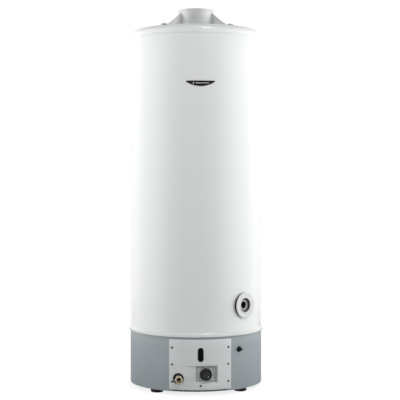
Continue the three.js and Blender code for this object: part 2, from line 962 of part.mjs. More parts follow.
function makeInsulation() {
  const outer = bodyRadius - sheet - 1;
  const inner = tankRadius + 2.4;
  const bottom = jacketBottom + lipHeight + lipFlare + 3;
  const split = tankTop + 10;
  const sleeve = ring(inner, outer, bottom, split, 30);
  const ports = [coldPort, hotPort].map((port) =>
    inStation(rod(socketRadius + 0.8, tankRadius - 20, cutTo, 24), port.angle, port.height),
  );
  const pocket = sector(inner - 10, outer + 10, 8, 16, bottom - 5, tankBottom + 75);
  const bed = turned(
    [
      [flueRadius + 4, domeTop + 4],
      [120, tankTop + 43],
      [tankRadius - 3, tankTop + 27],
      [tankRadius + 2, split + touch],
      [outer - 1.2, split + touch],
      [outer - 1.2, jacketTop + lidRim - 2],
      [lidRadius - shoulderRadius, lidTop - sheet - 2.5],
      [flueRadius + 4, lidTop - sheet - 2.5],
    ],
    30,
  );
  const place = at(anode.angle, anode.circle, 0);
  const well = rod(24, tankTop, lidTop + 10).translate(place.x, place.y, 0);
  const screwWells = hoodLegAngles.map((angle) => {
    const spot = at(angle, hoodFootCircle, 0);
    return rod(5, lidTop - 20, lidTop + 5, 12).translate(spot.x, spot.y, 0);
  });
  return [
    mesh("insulation_sleeve", cut(sleeve, ...ports, pocket), foam),
    mesh("insulation_cap", cut(bed, well, ...screwWells), foam),
  ];
}

function makeAnode() {
  const seat = tankTop + 41.5;
  const stick = turned(
    [
      [0, seat - anode.length],
      [anode.radius, seat - anode.length],
      [anode.radius, seat - 12],
      [anode.radius + 2, seat - 12],
      [anode.radius + 2, seat + 2],
      [0, seat + 2],
    ],
    small,
  );
  const cap = prism(hexagon(32), seat, seat + 10);
  const whole = mesh("anode_rod", joined(stick, cap), magnesium);
  whole.position.copy(at(anode.angle, anode.circle, 0));
  return whole;
}

function makeCombustionChamber() {
  const inner = chamberRadius;
  const wall = ring(inner, inner + 1.5, baseBottom + 1.5 + touch, tankBottom - touch, wide);
  const opening = skirtOpeningHalfAngle + 3;
  const doorway = sector(inner - 20, inner + 20, -opening, opening, baseBottom - 5, jacketBottom - 12);
  const probeWay = sector(inner - 10, inner + 10, 4, 20, jacketBottom - 20, tankBottom + 5);
  return mesh("combustion_chamber", cut(wall, doorway, probeWay), tankSteel);
}

// Draft hood: collar, three welded gusset legs on rubber spacers, and their screws.

function makeHood() {
  const inner = hoodRadius - 1.5;
  const beadBottom = hoodTop - 7;
  const collar = turned(
    [
      [inner, hoodBottom],
      [hoodRadius, hoodBottom],
      [hoodRadius, beadBottom],
      [hoodRadius + hoodBead, beadBottom + 1],
      [hoodRadius + hoodBead, hoodTop],
      [inner, hoodTop],
    ],
    36,
  );
  const parts = [mesh("hood_collar", collar, galvanised)];
  hoodLegAngles.forEach((angle, i) => {
    const number = i + 1;
    const leg = mesh("hood_leg_" + number, legGeometry(), galvanised);
    leg.rotation.set(Math.PI / 2, 0, radians(angle - 90), "ZXY");
    const spot = at(angle, hoodFootCircle, 0);
    const spacerTop = hoodBottom - 1 - touch;
    const pad = ring(2.5 + holeGap, spacerRadius, lidTop + touch, spacerTop);
    const spacer = mesh("hood_spacer_" + number, pad, rubber);
    const head = hoodBottom + 0.5 + touch;
    const bolt = turned(
      [
        [0, lidTop - 12],
        [2.5, lidTop - 12],
        [2.5, head],
        [5, head],
        [4, head + 3.4],
        [0, head + 3.4],
      ],
      12,
    );
    const screw = mesh("hood_screw_" + number, bolt, screwSteel);
    spacer.position.copy(spot);
    screw.position.copy(spot);
    parts.push(leg, spacer, screw);
  });
  return parts;
}

// A leg in its own plane: x out from the hood's axis, y up, z across its thickness.
function legGeometry() {
  const thickness = 1.5;
  const bottom = hoodBottom - 1;
  const start = hoodRadius + touch + 0.2;
  const reach = hoodFootCircle - 8 - start;
  const rise = 50;
  const gusset = new THREE.Shape();
  gusset.moveTo(start, bottom);
  gusset.lineTo(start + reach, bottom);
  gusset.quadraticCurveTo(start + 0.49 * reach, bottom + 0.42 * rise, start, bottom + rise);
  gusset.closePath();
  const plate = prism(gusset, -thickness / 2, thickness / 2, 8);
  const tab = new THREE.BoxGeometry(32, 1.5, 24).translate(hoodFootCircle - 1, bottom + 0.75, 0);
  const hole = new THREE.CylinderGeometry(2.5 + holeGap, 2.5 + holeGap, 20, 16);
  return cut(joined(plate, tab), hole.translate(hoodFootCircle, bottom, 0));
}

// Blank badge: flat top edge, curved lower edge, bent to the jacket.
function makeBadge() {
  const x = badgeWidth / 2;
  const side = 4;
  const outline = new THREE.Shape();
  outline.moveTo(-x, 0);
  outline.lineTo(-x, -side);
  outline.quadraticCurveTo(0, side - 2 * badgeHeight, x, -side);
  outline.lineTo(x, 0);
  outline.closePath();
  const slab = inStation(prism(outline, cutFrom, cutTo, 12), 0, jacketTop - badgeDrop);
  const skin = ring(bodyRadius + touch, bodyRadius + 2, jacketTop - badgeDrop - 50, jacketTop, wide);
  return mesh("badge_plate", shared(slab, skin), blackPlastic);
}

const heater = new THREE.Group();
heater.add(
  makeJacket(),
  makeTopCover(),
  makeBaseSkirt(),
  makeBasePan(),
  ...makeFeet(),
  makeFrontPanel(),
  ...makePanelScrews(),
  makeSightWindow(),
  makeGasControl(),
  ...makeGasInlet(),
  ...makeBurner(),
  ...makePilot(),
  makeThermostatProbe(),
  makeIgniter(),
  ...makePort(coldPort),
  ...makePort(hotPort),
  makeTank(),
  ...makeFlue(),
  ...makeInsulation(),
  makeAnode(),
  makeCombustionChamber(),
  ...makeHood(),
  makeBadge(),
);

export default heater;
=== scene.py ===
# %% [markdown]
# A floor-standing gas water heater: a tall white enamelled jacket on a grey base, with a screwed
# access panel, a gas control and its knob, a brass gas union, a push-button igniter, two water
# ports and a draft hood on the lid. The measured frame is loaded first, and every fine piece is
# then built around it, in metres, with +Z up, the front towards -Y and the floor at z = 0.

# %% Load the measured frame
import json
import math

import bmesh
import bpy
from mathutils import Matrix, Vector


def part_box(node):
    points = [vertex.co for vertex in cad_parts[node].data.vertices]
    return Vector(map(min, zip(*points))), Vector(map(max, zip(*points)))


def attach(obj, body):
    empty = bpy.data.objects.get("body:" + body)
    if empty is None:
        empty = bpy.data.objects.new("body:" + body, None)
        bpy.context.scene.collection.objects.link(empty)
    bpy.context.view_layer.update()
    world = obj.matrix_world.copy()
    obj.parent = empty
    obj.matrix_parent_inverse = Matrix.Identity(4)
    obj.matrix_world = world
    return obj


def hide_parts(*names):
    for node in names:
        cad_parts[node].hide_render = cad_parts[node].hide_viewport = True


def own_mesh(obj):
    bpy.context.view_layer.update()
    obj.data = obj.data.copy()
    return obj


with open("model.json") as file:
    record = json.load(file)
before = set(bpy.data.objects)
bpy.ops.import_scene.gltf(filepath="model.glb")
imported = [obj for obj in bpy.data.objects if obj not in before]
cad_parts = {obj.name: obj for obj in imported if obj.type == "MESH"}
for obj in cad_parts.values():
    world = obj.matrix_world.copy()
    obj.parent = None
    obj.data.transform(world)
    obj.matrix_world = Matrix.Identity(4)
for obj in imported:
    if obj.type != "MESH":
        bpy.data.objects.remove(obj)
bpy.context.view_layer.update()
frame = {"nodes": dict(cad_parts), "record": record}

# %% [markdown]
# The camera stands a little to the left of the front, four metres away and level with the middle
# of the heater, with a long lens. A long lens keeps the tall cylinder's sides almost parallel, as
# a catalogue view does.

# %% Camera
LENS = 97.61
EYE = (-0.2819, -4.1353, 0.775)
PITCH_DOWN = 1.0
HEADING = 4.115
bpy.ops.object.select_all(action="DESELECT")
bpy.ops.object.camera_add(
    location=EYE, rotation=(math.radians(90 - PITCH_DOWN), 0, -math.radians(HEADING))
)
camera = bpy.context.object
camera.data.lens = LENS
camera.data.sensor_width = 36.0
camera.data.clip_end = 100.0
bpy.context.scene.camera = camera
bpy.context.scene.view_settings.view_transform = "Standard"
print("camera", [round(value, 3) for value in camera.location])

# %% [markdown]
# The studio is a soft white room. For the light the heater receives, the room is dim straight in
# front and overhead, and bright to both sides: this gives a glossy white cylinder its grey middle
# and its white edges. What the camera sees behind the object is plain white. A world made of a
# smooth ramp lights the whole height evenly, which a nearby lamp would not.

# %% Studio light
FRONT_GLOW = 0.355
SIDE_GLOW = 2.08
BACK_GLOW = 1.04
TOP_GLOW = 0.2
DIM_HEADING = -5.5
DIM_FROM, DIM_FULLY = 0.15, 0.85
PAPER_WHITE = 1.02


def put(tree, kind):
    return tree.nodes.new("ShaderNode" + kind)


def join(tree, source, target):
    """Links one socket to another, or sets a socket to a plain value."""
    if isinstance(source, bpy.types.NodeSocket):
        tree.links.new(source, target)
    else:
        target.default_value = source


def grey(level):
    return (level, level, level, 1)


def preset(node, **values):
    for label, value in values.items():
        node.inputs[label.replace("_", " ")].default_value = value


def math_node(tree, operation, *values):
    node = put(tree, "Math")
    node.operation = operation
    for socket, value in zip(node.inputs, values):
        join(tree, value, socket)
    return node.outputs[0]


def blend(tree, mask, below, above):
    mix = put(tree, "Mix")
    mix.data_type = "RGBA"
    for index, value in ((0, mask), (6, below), (7, above)):
        join(tree, value, mix.inputs[index])
    return mix.outputs[2]


def stretch(tree, value, low, high, to_low=0.0, to_high=1.0):
    spread = put(tree, "MapRange")
    spread.interpolation_type = "SMOOTHSTEP"
    limits = {"From Min": low, "From Max": high, "To Min": to_low, "To Max": to_high}
    for label, amount in limits.items():
        join(tree, amount, spread.inputs[label])
    join(tree, value, spread.inputs["Value"])
    return spread.outputs["Result"]


studio = bpy.data.worlds.new("studio")
bpy.context.scene.world = studio
studio.use_nodes = True
sky = studio.node_tree
sky.nodes.clear()
direction = put(sky, "TexCoord")
towards = put(sky, "VectorMath")
towards.operation = "DOT_PRODUCT"
turn_left = math.radians(DIM_HEADING)
towards.inputs[1].default_value = (math.sin(turn_left), -math.cos(turn_left), 0)
join(sky, direction.outputs["Generated"], towards.inputs[0])
around = put(sky, "ValToRGB")
around.color_ramp.interpolation = "EASE"
stops = [(0.0, BACK_GLOW), (0.307, SIDE_GLOW), (0.635, SIDE_GLOW), (1.0, FRONT_GLOW)]
while len(around.color_ramp.elements) < len(stops):
    around.color_ramp.elements.new(0.5)
for stop, (place, glow) in zip(around.color_ramp.elements, stops):
    stop.position = place
    stop.color = grey(glow)
half = math_node(sky, "MULTIPLY_ADD", towards.outputs["Value"], 0.5, 0.5)
join(sky, half, around.inputs[0])
heights = put(sky, "SeparateXYZ")
join(sky, direction.outputs["Generated"], heights.inputs[0])
overhead = stretch(sky, heights.outputs["Z"], DIM_FROM, DIM_FULLY)
room = put(sky, "Background")
lit = blend(sky, overhead, around.outputs["Color"], grey(TOP_GLOW))
join(sky, lit, room.inputs["Color"])
paper = put(sky, "Background")
seen = put(sky, "LightPath")
choose = put(sky, "MixShader")
join(sky, seen.outputs["Is Camera Ray"], choose.inputs[0])
join(sky, room.outputs[0], choose.inputs[1])
join(sky, paper.outputs[0], choose.inputs[2])
preset(paper, Color=grey(PAPER_WHITE))
join(sky, choose.outputs[0], put(sky, "OutputWorld").inputs[0])
print("world ramp", [round(stop.position, 2) for stop in around.color_ramp.elements])

# %% [markdown]
# One wide lamp stands high in front, a little to the right. It is weak beside the room's own
# light, but it comes from one side, so it puts a soft shadow under the jacket's flare and under
# the recess's upper edge.
# A sun lamp is even over the whole height, and its angle sets how soft the shadows are.

# %% High lamp
LAMP_POWER = 0.6
LAMP_HEADING, LAMP_RISE, LAMP_SPREAD = 20.0, 50.0, 14.0
bpy.ops.object.select_all(action="DESELECT")
bpy.ops.object.light_add(
    type="SUN",
    location=(1.0, -3.0, 3.0),
    rotation=(math.radians(90 - LAMP_RISE), 0, math.radians(LAMP_HEADING)),
)
lamp = bpy.context.object
lamp.name = "high_lamp"
lamp.data.energy = LAMP_POWER
lamp.data.angle = math.radians(LAMP_SPREAD)
print("lamp", round(lamp.data.energy, 2), "spread", LAMP_SPREAD, "degrees")

# %% [markdown]
# Several finishes share the same effects, so each effect is a node group with named sockets, built
# once. Colour drift is the slow unevenness of any painted or rolled surface. Fine grain is the
# small relief that breaks up a reflection. Edge wear finds outer corners by their pointiness.
# Settled dust lies on faces that look up. Draw lines are the long scratches of rolled metal.
# A group puts out only colours, masks and heights; the shader stays in each material.

# %% Node groups


def new_group(name, inputs, outputs):
    group = bpy.data.node_groups.new(name, "ShaderNodeTree")
    for label, kind, value in inputs:
        socket = group.interface.new_socket(label, in_out="INPUT", socket_type=kind)
        socket.default_value = value
    for label, kind in outputs:
        group.interface.new_socket(label, in_out="OUTPUT", socket_type=kind)
    return group, group.nodes.new("NodeGroupInput"), group.nodes.new("NodeGroupOutput")


def noise(tree, scale, detail=3.0, vector=None):
    if vector is None:
        vector = put(tree, "TexCoord").outputs["Object"]
    texture = put(tree, "TexNoise")
    preset(texture, Detail=detail)
    join(tree, vector, texture.inputs["Vector"])
    join(tree, scale, texture.inputs["Scale"])
    return texture.outputs["Fac"]


FLOAT = "NodeSocketFloat"
COLOUR = "NodeSocketColor"

drift, given, result = new_group(
    "Colour drift",
    [("Colour", COLOUR, (0.8, 0.8, 0.8, 1)), ("Amount", FLOAT, 0.05), ("Scale", FLOAT, 8.0)],
    [("Colour", COLOUR), ("Value", FLOAT)],
)
slow = stretch(drift, noise(drift, given.outputs["Scale"]), 0.3, 0.7)
centred = math_node(drift, "SUBTRACT", slow, 0.5)
swing = math_node(drift, "MULTIPLY", centred, given.outputs["Amount"])
tone = put(drift, "HueSaturation")
join(drift, math_node(drift, "ADD", swing, 1.0), tone.inputs["Value"])
join(drift, given.outputs["Colour"], tone.inputs["Color"])
join(drift, tone.outputs["Color"], result.inputs["Colour"])
join(drift, slow, result.inputs["Value"])

grain, given, result = new_group(
    "Fine grain",
    [("Scale", FLOAT, 400.0), ("Coarse share", FLOAT, 0.3)],
    [("Height", FLOAT)],
)
small_relief = noise(grain, given.outputs["Scale"], 4.0)
broad_relief = noise(grain, math_node(grain, "MULTIPLY", given.outputs["Scale"], 0.18), 2.0)
shared = math_node(grain, "MULTIPLY", broad_relief, given.outputs["Coarse share"])
join(grain, math_node(grain, "ADD", small_relief, shared), result.inputs["Height"])

wear, given, result = new_group(
    "Edge wear",
    [("Amount", FLOAT, 0.4), ("Scale", FLOAT, 60.0)],
    [("Mask", FLOAT)],
)
corner = stretch(wear, put(wear, "NewGeometry").outputs["Pointiness"], 0.53, 0.62)
broken = stretch(wear, noise(wear, given.outputs["Scale"], 5.0), 0.42, 0.62)
rubbed = math_node(wear, "MULTIPLY", corner, broken)
join(wear, math_node(wear, "MULTIPLY", rubbed, given.outputs["Amount"]), result.inputs["Mask"])

dust, given, result = new_group(
    "Settled dust",
    [("Amount", FLOAT, 0.3), ("Scale", FLOAT, 14.0)],
    [("Mask", FLOAT)],
)
facing = put(dust, "SeparateXYZ")
join(dust, put(dust, "NewGeometry").outputs["Normal"], facing.inputs[0])
upward = stretch(dust, facing.outputs["Z"], 0.5, 1.0)
patchy = stretch(dust, noise(dust, given.outputs["Scale"], 5.0), 0.3, 0.75, 0.4, 1.0)
lying = math_node(dust, "MULTIPLY", upward, patchy)
join(dust, math_node(dust, "MULTIPLY", lying, given.outputs["Amount"]), result.inputs["Mask"])

lines, given, result = new_group(
    "Draw lines",
    [("Scale", FLOAT, 300.0), ("Along", COLOUR, (0.04, 1, 1, 1))],
    [("Height", FLOAT)],
)
along = put(lines, "VectorMath")
along.operation = "MULTIPLY"
join(lines, put(lines, "TexCoord").outputs["Object"], along.inputs[0])
join(lines, given.outputs["Along"], along.inputs[1])
drawn = noise(lines, given.outputs["Scale"], 3.0, along.outputs["Vector"])
join(lines, drawn, result.inputs["Height"])
print("node groups", [group.name for group in bpy.data.node_groups])

# %% [markdown]
# Every finish is built from the same steps: a base colour that drifts, worn edges, dust on top,
# a roughness that follows the drift, and a bump from the grain or the draw lines. What changes
# from one to the next is the amounts, and what is the same all over the surface, such as the
# clear coat of the enamel, is set on the shader's own socket. A finish is called with its slot,
# colour and roughness, the amount and scale of its drift, the scale and height in millimetres of
# its grain, and the colour and share of its worn edges. What only some of them have comes last.

# %% Finish builder
finishes = {}
MM = 0.001
DUST_COLOUR = (0.55, 0.53, 0.5, 1)
COAT_ROUGHNESS = 0.08


def finish(slot, colour, roughness, drifts, grained, worn, wear_amount, metallic=0.0, coat=0.0,
           dust_amount=0.15, lined=None, specular=0.5, gloss_swing=0.13):
    made = bpy.data.materials.new(slot + "_finish")
    made.use_nodes = True
    tree = made.node_tree
    shader = tree.nodes["Principled BSDF"]
    preset(shader, Metallic=metallic, Coat_Weight=coat, Coat_Roughness=COAT_ROUGHNESS)
    preset(shader, Specular_IOR_Level=specular)

    def place(group, **values):
        node = put(tree, "Group")
        node.node_tree = group
        preset(node, **values)
        return node.outputs

    body = place(drift, Colour=(*colour, 1), Amount=drifts[0], Scale=drifts[1])
    edges = place(wear, Amount=wear_amount, Scale=90.0)["Mask"]
    top = place(dust, Amount=dust_amount, Scale=14.0)["Mask"]
    shown = blend(tree, edges, body["Colour"], (*worn, 1))
    join(tree, blend(tree, top, shown, DUST_COLOUR), shader.inputs["Base Color"])
    smoothest, roughest = roughness * (1 - gloss_swing), min(1.0, roughness * (1 + gloss_swing))
    dulled = stretch(tree, body["Value"], 0.0, 1.0, smoothest, roughest)
    dusty = math_node(tree, "MULTIPLY", top, 0.5)
    join(tree, math_node(tree, "ADD", dulled, dusty), shader.inputs["Roughness"])
    if lined:
        height = place(lines, Scale=grained[0], Along=(*lined, 1))["Height"]
    else:
        height = place(grain, Scale=grained[0], Coarse_share=0.4)["Height"]
    bump = put(tree, "Bump")
    preset(bump, Strength=0.6, Distance=grained[1] * MM)
    join(tree, height, bump.inputs["Height"])
    join(tree, bump.outputs["Normal"], shader.inputs["Normal"])
    finishes[slot] = made


# %% [markdown]
# Painted sheet comes first. The jacket and lid are baked white enamel under a clear gloss, with a
# very slight orange peel. The base is a duller blue-grey enamel, and the access panel a paler,
# faintly metallic paint. Rubber and the moulded plastics are matt, with a fine moulded grain.

# %% Paint, plastic and rubber
finish("white_enamel", (0.845, 0.87, 0.858), 0.3, (0.004, 24.0), (260.0, 0.012),
       (0.7, 0.71, 0.7), 0.1, coat=0.7, dust_amount=0.04, gloss_swing=0.02)
finish("grey_enamel", (0.375, 0.425, 0.45), 0.5, (0.04, 5.0), (520.0, 0.03), (0.5, 0.52, 0.53),
       0.25, coat=0.1)
finish("panel_sheet", (0.75, 0.785, 0.785), 0.44, (0.03, 7.0), (700.0, 0.02), (0.8, 0.81, 0.82),
       0.5, metallic=0.15, coat=0.15)
finish("rubber", (0.02, 0.022, 0.025), 0.72, (0.3, 40.0), (1100.0, 0.06), (0.09, 0.09, 0.09),
       0.4, specular=0.35)
finish("black_plastic", (0.006, 0.0065, 0.007), 0.5, (0.25, 30.0), (1600.0, 0.025),
       (0.06, 0.06, 0.065), 0.3, specular=0.25)
finish("grey_plastic", (0.56, 0.58, 0.585), 0.5, (0.05, 25.0), (1500.0, 0.03),
       (0.62, 0.63, 0.64), 0.3)
finish("white_plastic", (0.83, 0.845, 0.84), 0.34, (0.02, 18.0), (1400.0, 0.02),
       (0.7, 0.7, 0.68), 0.12, dust_amount=0.05)
finish("insulation_foam", (0.72, 0.6, 0.33), 0.95, (0.25, 60.0), (420.0, 0.5), (0.8, 0.7, 0.45),
       0.4, specular=0.2)
print("paint and plastic", sorted(finishes))

# %% [markdown]
# The metals differ mostly in colour and in how they were worked. Galvanised sheet is rolled, so it
# has draw lines; brass and copper are turned and drawn; cast iron and cast alloy are pebbly. The
# sight window's pane is a plain near-black gloss: its colour is painted shade, the dark of the
# unlit chamber behind it, where nothing burns.

# %% Metals and glass
finish("galvanised", (0.66, 0.67, 0.67), 0.5, (0.1, 22.0), (420.0, 0.03), (0.78, 0.79, 0.8),
       0.5, metallic=0.4, lined=(1, 1, 0.08))
finish("screw_steel", (0.09, 0.09, 0.095), 0.36, (0.2, 60.0), (1800.0, 0.02),
       (0.45, 0.45, 0.45), 0.6, metallic=0.9)
finish("brass", (0.93, 0.83, 0.56), 0.34, (0.14, 55.0), (1200.0, 0.02), (0.93, 0.78, 0.45), 0.7,
       metallic=0.85, lined=(1, 0.1, 1))
finish("copper", (0.62, 0.29, 0.14), 0.34, (0.2, 35.0), (900.0, 0.02), (0.85, 0.5, 0.32), 0.5,
       metallic=1.0)
finish("cast_alloy", (0.36, 0.37, 0.38), 0.52, (0.12, 30.0), (520.0, 0.1), (0.6, 0.6, 0.6), 0.5,
       metallic=0.8)
# The base pan, carried over from the frame, wears this finish too: there its dark colour paints
# the shade in the gap under the access panel. On the flue and the tank it is the steel's own
# colour.
finish("tank_steel", (0.14, 0.155, 0.165), 0.5, (0.25, 14.0), (300.0, 0.06), (0.35, 0.35, 0.35),
       0.5, metallic=0.4)
finish("cast_iron", (0.05, 0.048, 0.046), 0.74, (0.35, 28.0), (340.0, 0.16), (0.2, 0.15, 0.11),
       0.6, metallic=0.5)
finish("magnesium", (0.4, 0.41, 0.4), 0.5, (0.15, 30.0), (500.0, 0.06), (0.6, 0.6, 0.6), 0.4,
       metallic=0.7)
# Near-black pane colour: painted shade, the dark of the unlit chamber seen through the window.
finish("dark_glass", (0.003, 0.0035, 0.004), 0.12, (0.4, 60.0), (300.0, 0.004),
       (0.03, 0.03, 0.03), 0.1, specular=0.12)
finish("dial_grey", (0.028, 0.031, 0.034), 0.5, (0.2, 60.0), (1500.0, 0.03), (0.12, 0.12, 0.13),
       0.3, specular=0.3)
# A darker grey for the port's well ring: painted shade, the shade down in the recessed well.
finish("well_grey", (0.2, 0.205, 0.21), 0.6, (0.15, 40.0), (900.0, 0.05), (0.3, 0.3, 0.3), 0.3)
slots = {row["slot"] for row in frame["record"]["materials"]}
print("finishes", len(finishes), "slots without one", sorted(slots - set(finishes)))

# %% Give every carried-over node its finish
for node in frame["nodes"].values():
    wearing = node.material_slots[0]
    wearing.material = finishes[wearing.material.name.split(".")[0]]
print("carried-over nodes finished", len(frame["nodes"]))

# %% [markdown]
# The shaping helpers are the moves a maker repeats by hand. A profile is drawn one point after
# another by extruding a single vertex, its bends are rounded, and it is spun about the upright
# axis. A plate starts as a plane whose corners are rounded before it is given its thickness.
# Holes are cut with a modifier, and so are the small rounded edges that catch the light.

# %% Selecting


def to_objects():
    if bpy.context.mode != "OBJECT":
        bpy.ops.object.mode_set(mode="OBJECT")
    bpy.ops.object.select_all(action="DESELECT")


def hold(item):
    to_objects()
    item.select_set(True)
    bpy.context.view_layer.objects.active = item
    return item


def settle(item):
    """Writes an object's place, turn and scale into its mesh."""
    hold(item)
    bpy.ops.object.transform_apply(location=True, rotation=True, scale=True)
    return item


def edit(item):
    hold(item)
    bpy.ops.object.mode_set(mode="EDIT")
    bpy.ops.mesh.select_mode(type="VERT")


def everything():
    bpy.ops.mesh.select_all(action="SELECT")


def pick(kind, test):
    bpy.ops.mesh.select_mode(type=kind)
    bpy.ops.mesh.select_all(action="DESELECT")
    mesh = bpy.context.object.data
    live = bmesh.from_edit_mesh(mesh)
    parts = {"VERT": live.verts, "EDGE": live.edges, "FACE": live.faces}[kind]
    found = [part for part in parts if test(part)]
    for part in found:
        part.select_set(True)
    live.select_flush_mode()
    bmesh.update_edit_mesh(mesh)
    return len(found)


def near(point, reach=1e-5):
    return lambda vertex: (vertex.co - point).length < reach


def around_axis(angle, radius):
    turn = math.radians(angle)
    return Vector((radius * math.sin(turn), -radius * math.cos(turn), 0))


def extrude(move=(0, 0, 0)):
    bpy.ops.mesh.extrude_region_move(TRANSFORM_OT_translate={"value": move})


def modified(item, label, kind, **settings):
    hold(item)
    step = item.modifiers.new(label, kind)
    for name, value in settings.items():
        setattr(step, name, value)
    bpy.ops.object.modifier_apply(modifier=step.name)
    return item


def scale_about_axis(factor):
    bpy.ops.transform.resize(value=(factor, factor, 1), center_override=(0, 0, 0))


# %% Drawing, turning and plates


def draw(points, close=True):
    to_objects()
    points = [Vector(point) * MM for point in points]
    bpy.ops.mesh.primitive_plane_add(size=0.01, location=(0, 0, 0))
    bpy.ops.object.mode_set(mode="EDIT")
    bpy.ops.mesh.select_mode(type="VERT")
    everything()
    bpy.ops.mesh.merge(type="CENTER")
    bpy.ops.transform.translate(value=points[0])
    for here, there in zip(points, points[1:]):
        extrude(there - here)
    if close:
        pick("VERT", lambda vertex: len(vertex.link_edges) == 1)
        bpy.ops.mesh.edge_face_add()
    return bpy.context.object


def tidy_mesh(item):
    edit(item)
    everything()
    bpy.ops.mesh.remove_doubles(threshold=2e-6)
    bpy.ops.mesh.normals_make_consistent(inside=False)
    to_objects()
    return item


def soften(item, width, segments=2, angle=30):
    return modified(item, "Soft edges", "BEVEL", width=width * MM, segments=segments,
                    limit_method="ANGLE", angle_limit=math.radians(angle))


def spun_to(item, turn):
    item.rotation_euler[2] = math.radians(turn)
    return settle(item)


def turned(profile, facets, rounds=(), soft=0.0, sweep=360.0, start=0.0, base=0.0):
    """Spins a profile of radii and heights over a base.

    Each of rounds is a bend's index, its radius and the segments that round it.
    """
    places = [(radius, 0, base + height) for radius, height in profile]
    item = draw(places, close=profile[0][0] > 0 or profile[-1][0] > 0)
    for index, radius, segments in rounds:
        pick("VERT", near(Vector(places[index]) * MM))
        bpy.ops.mesh.bevel(offset=radius * MM, segments=segments, affect="VERTICES")
    everything()
    if sweep < 360:
        bpy.ops.mesh.edge_face_add()
    everything()
    bpy.ops.mesh.spin(steps=facets, angle=-math.radians(sweep), center=(0, 0, 0), axis=(0, 0, 1))
    tidy_mesh(item)
    if start:
        spun_to(item, start)
    return soften(item, soft) if soft else item


def slab(width, height, corner, back, front, segments=6, centre=(0, 0)):
    """A plate across the z axis with rounded corners."""
    to_objects()
    bpy.ops.mesh.primitive_plane_add(size=MM, location=(centre[0] * MM, centre[1] * MM, back * MM))
    item = bpy.context.object
    item.scale = (width, height, 1)
    edit(settle(item))
    everything()
    if corner:
        bpy.ops.mesh.bevel(offset=corner * MM, segments=segments, affect="VERTICES")
        everything()
    extrude((0, 0, (front - back) * MM))
    return tidy_mesh(item)


def prism(outline, back, front):
    """A plate of any outline across the z axis, its points given in order."""
    item = draw([(x, y, back) for x, y in outline])
    everything()
    bpy.ops.mesh.edge_face_add()
    everything()
    extrude((0, 0, (front - back) * MM))
    return tidy_mesh(item)


def hexagon(corner_radius):
    corners = [math.radians(60 * index) for index in range(6)]
    return [(corner_radius * math.cos(turn), corner_radius * math.sin(turn)) for turn in corners]


def drum(radius, back, front, facets=48, centre=(0, 0)):
    to_objects()
    bpy.ops.mesh.primitive_cylinder_add(
        vertices=facets,
        radius=radius * MM,
        depth=(front - back) * MM,
        location=(centre[0] * MM, centre[1] * MM, (front + back) / 2 * MM),
    )
    return settle(bpy.context.object)


# %% Cutting, joining, placing and naming


def combine(item, operation, tools):
    for tool in tools:
        modified(item, "Cutter", "BOOLEAN", operation=operation, solver="EXACT", object=tool)
        bpy.data.objects.remove(tool)
    return item


def cut(item, *tools):
    return combine(item, "DIFFERENCE", tools)


def weld(item, *others):
    return combine(item, "UNION", others)


def gather(item, *others):
    hold(item)
    for other in others:
        other.select_set(True)
    bpy.ops.object.join()
    return item


def twin(item):
    hold(item)
    bpy.ops.object.duplicate()
    return bpy.context.object


def shifted(item, x, y=0.0):
    item.location = (x * MM, y * MM, 0)
    return settle(item)


def station(item, angle, height):
    """Turns a piece made along +z to point outwards at an angle from the front, at a height."""
    item.rotation_euler = (math.pi / 2, 0, math.radians(angle))
    item.location = (0, 0, height * MM)
    return settle(item)


def piece(item, name, slot, *stands_for, body="root", smooth=32, special=None):
    settle(item)
    item.name = name
    item.data.name = name
    bpy.ops.object.shade_smooth_by_angle(angle=math.radians(smooth))
    item.data.materials.clear()
    item.data.materials.append(finishes[special or slot])
    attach(item, body)
    if stands_for:
        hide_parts(*stands_for)
    spread = [round(size / MM, 1) for size in item.dimensions]
    print(f"{name}: {spread} mm, {len(item.data.polygons)} faces")
    return item


# %% [markdown]
# The jacket is one sheet rolled into a tube, flared outwards at its lower edge so that it drips
# clear of the base. Its profile is drawn once, both faces of the sheet, with the two bends of the
# flare rounded, and spun in fine steps so that no facet shows. The two port holes are then cut.
# The profile has a point just above and below each port, because a hole cut into a very tall face
# would bend the shading of that face all the way up.

# %% Jacket
BODY, FLARE = 250.0, 255.0
SHEET = 1.2
JACKET_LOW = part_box("jacket")[0].z / MM
JACKET_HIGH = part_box("jacket")[1].z / MM
COLD = (40.5, 321.0)
HOT = (180.0, 1160.0)
PORT_LEVELS = [height + side for _, height in (COLD, HOT) for side in (-29, 29)]
jacket = turned([
    (FLARE, JACKET_LOW), (FLARE, JACKET_LOW + 9.5), (BODY, JACKET_LOW + 14.5),
    *[(BODY, level) for level in PORT_LEVELS],
    (BODY, JACKET_HIGH), (BODY - SHEET, JACKET_HIGH),
    *[(BODY - SHEET, level) for level in reversed(PORT_LEVELS)],
    (BODY - SHEET, JACKET_LOW + 13.9), (FLARE - SHEET, JACKET_LOW + 8.9),
    (FLARE - SHEET, JACKET_LOW),
], 192, rounds=[(1, 2.5, 4), (2, 3, 4)], soft=0.35)
for angle, height in (COLD, HOT):
    cut(jacket, station(drum(26.5, 230, 270, 72), angle, height))
piece(jacket, "jacket_shell", "white_enamel", "jacket", smooth=40)

# %% [markdown]
# The lid is pressed from one disc: a rim that tucks into the jacket, a small bead that leaves a
# dark joint line above the jacket's edge, a generous shoulder and a flat top with the flue's hole.
# The shoulder is drawn as a square corner, and rounding that corner of the profile gives a true
# quarter circle, which reads as one soft band of light.

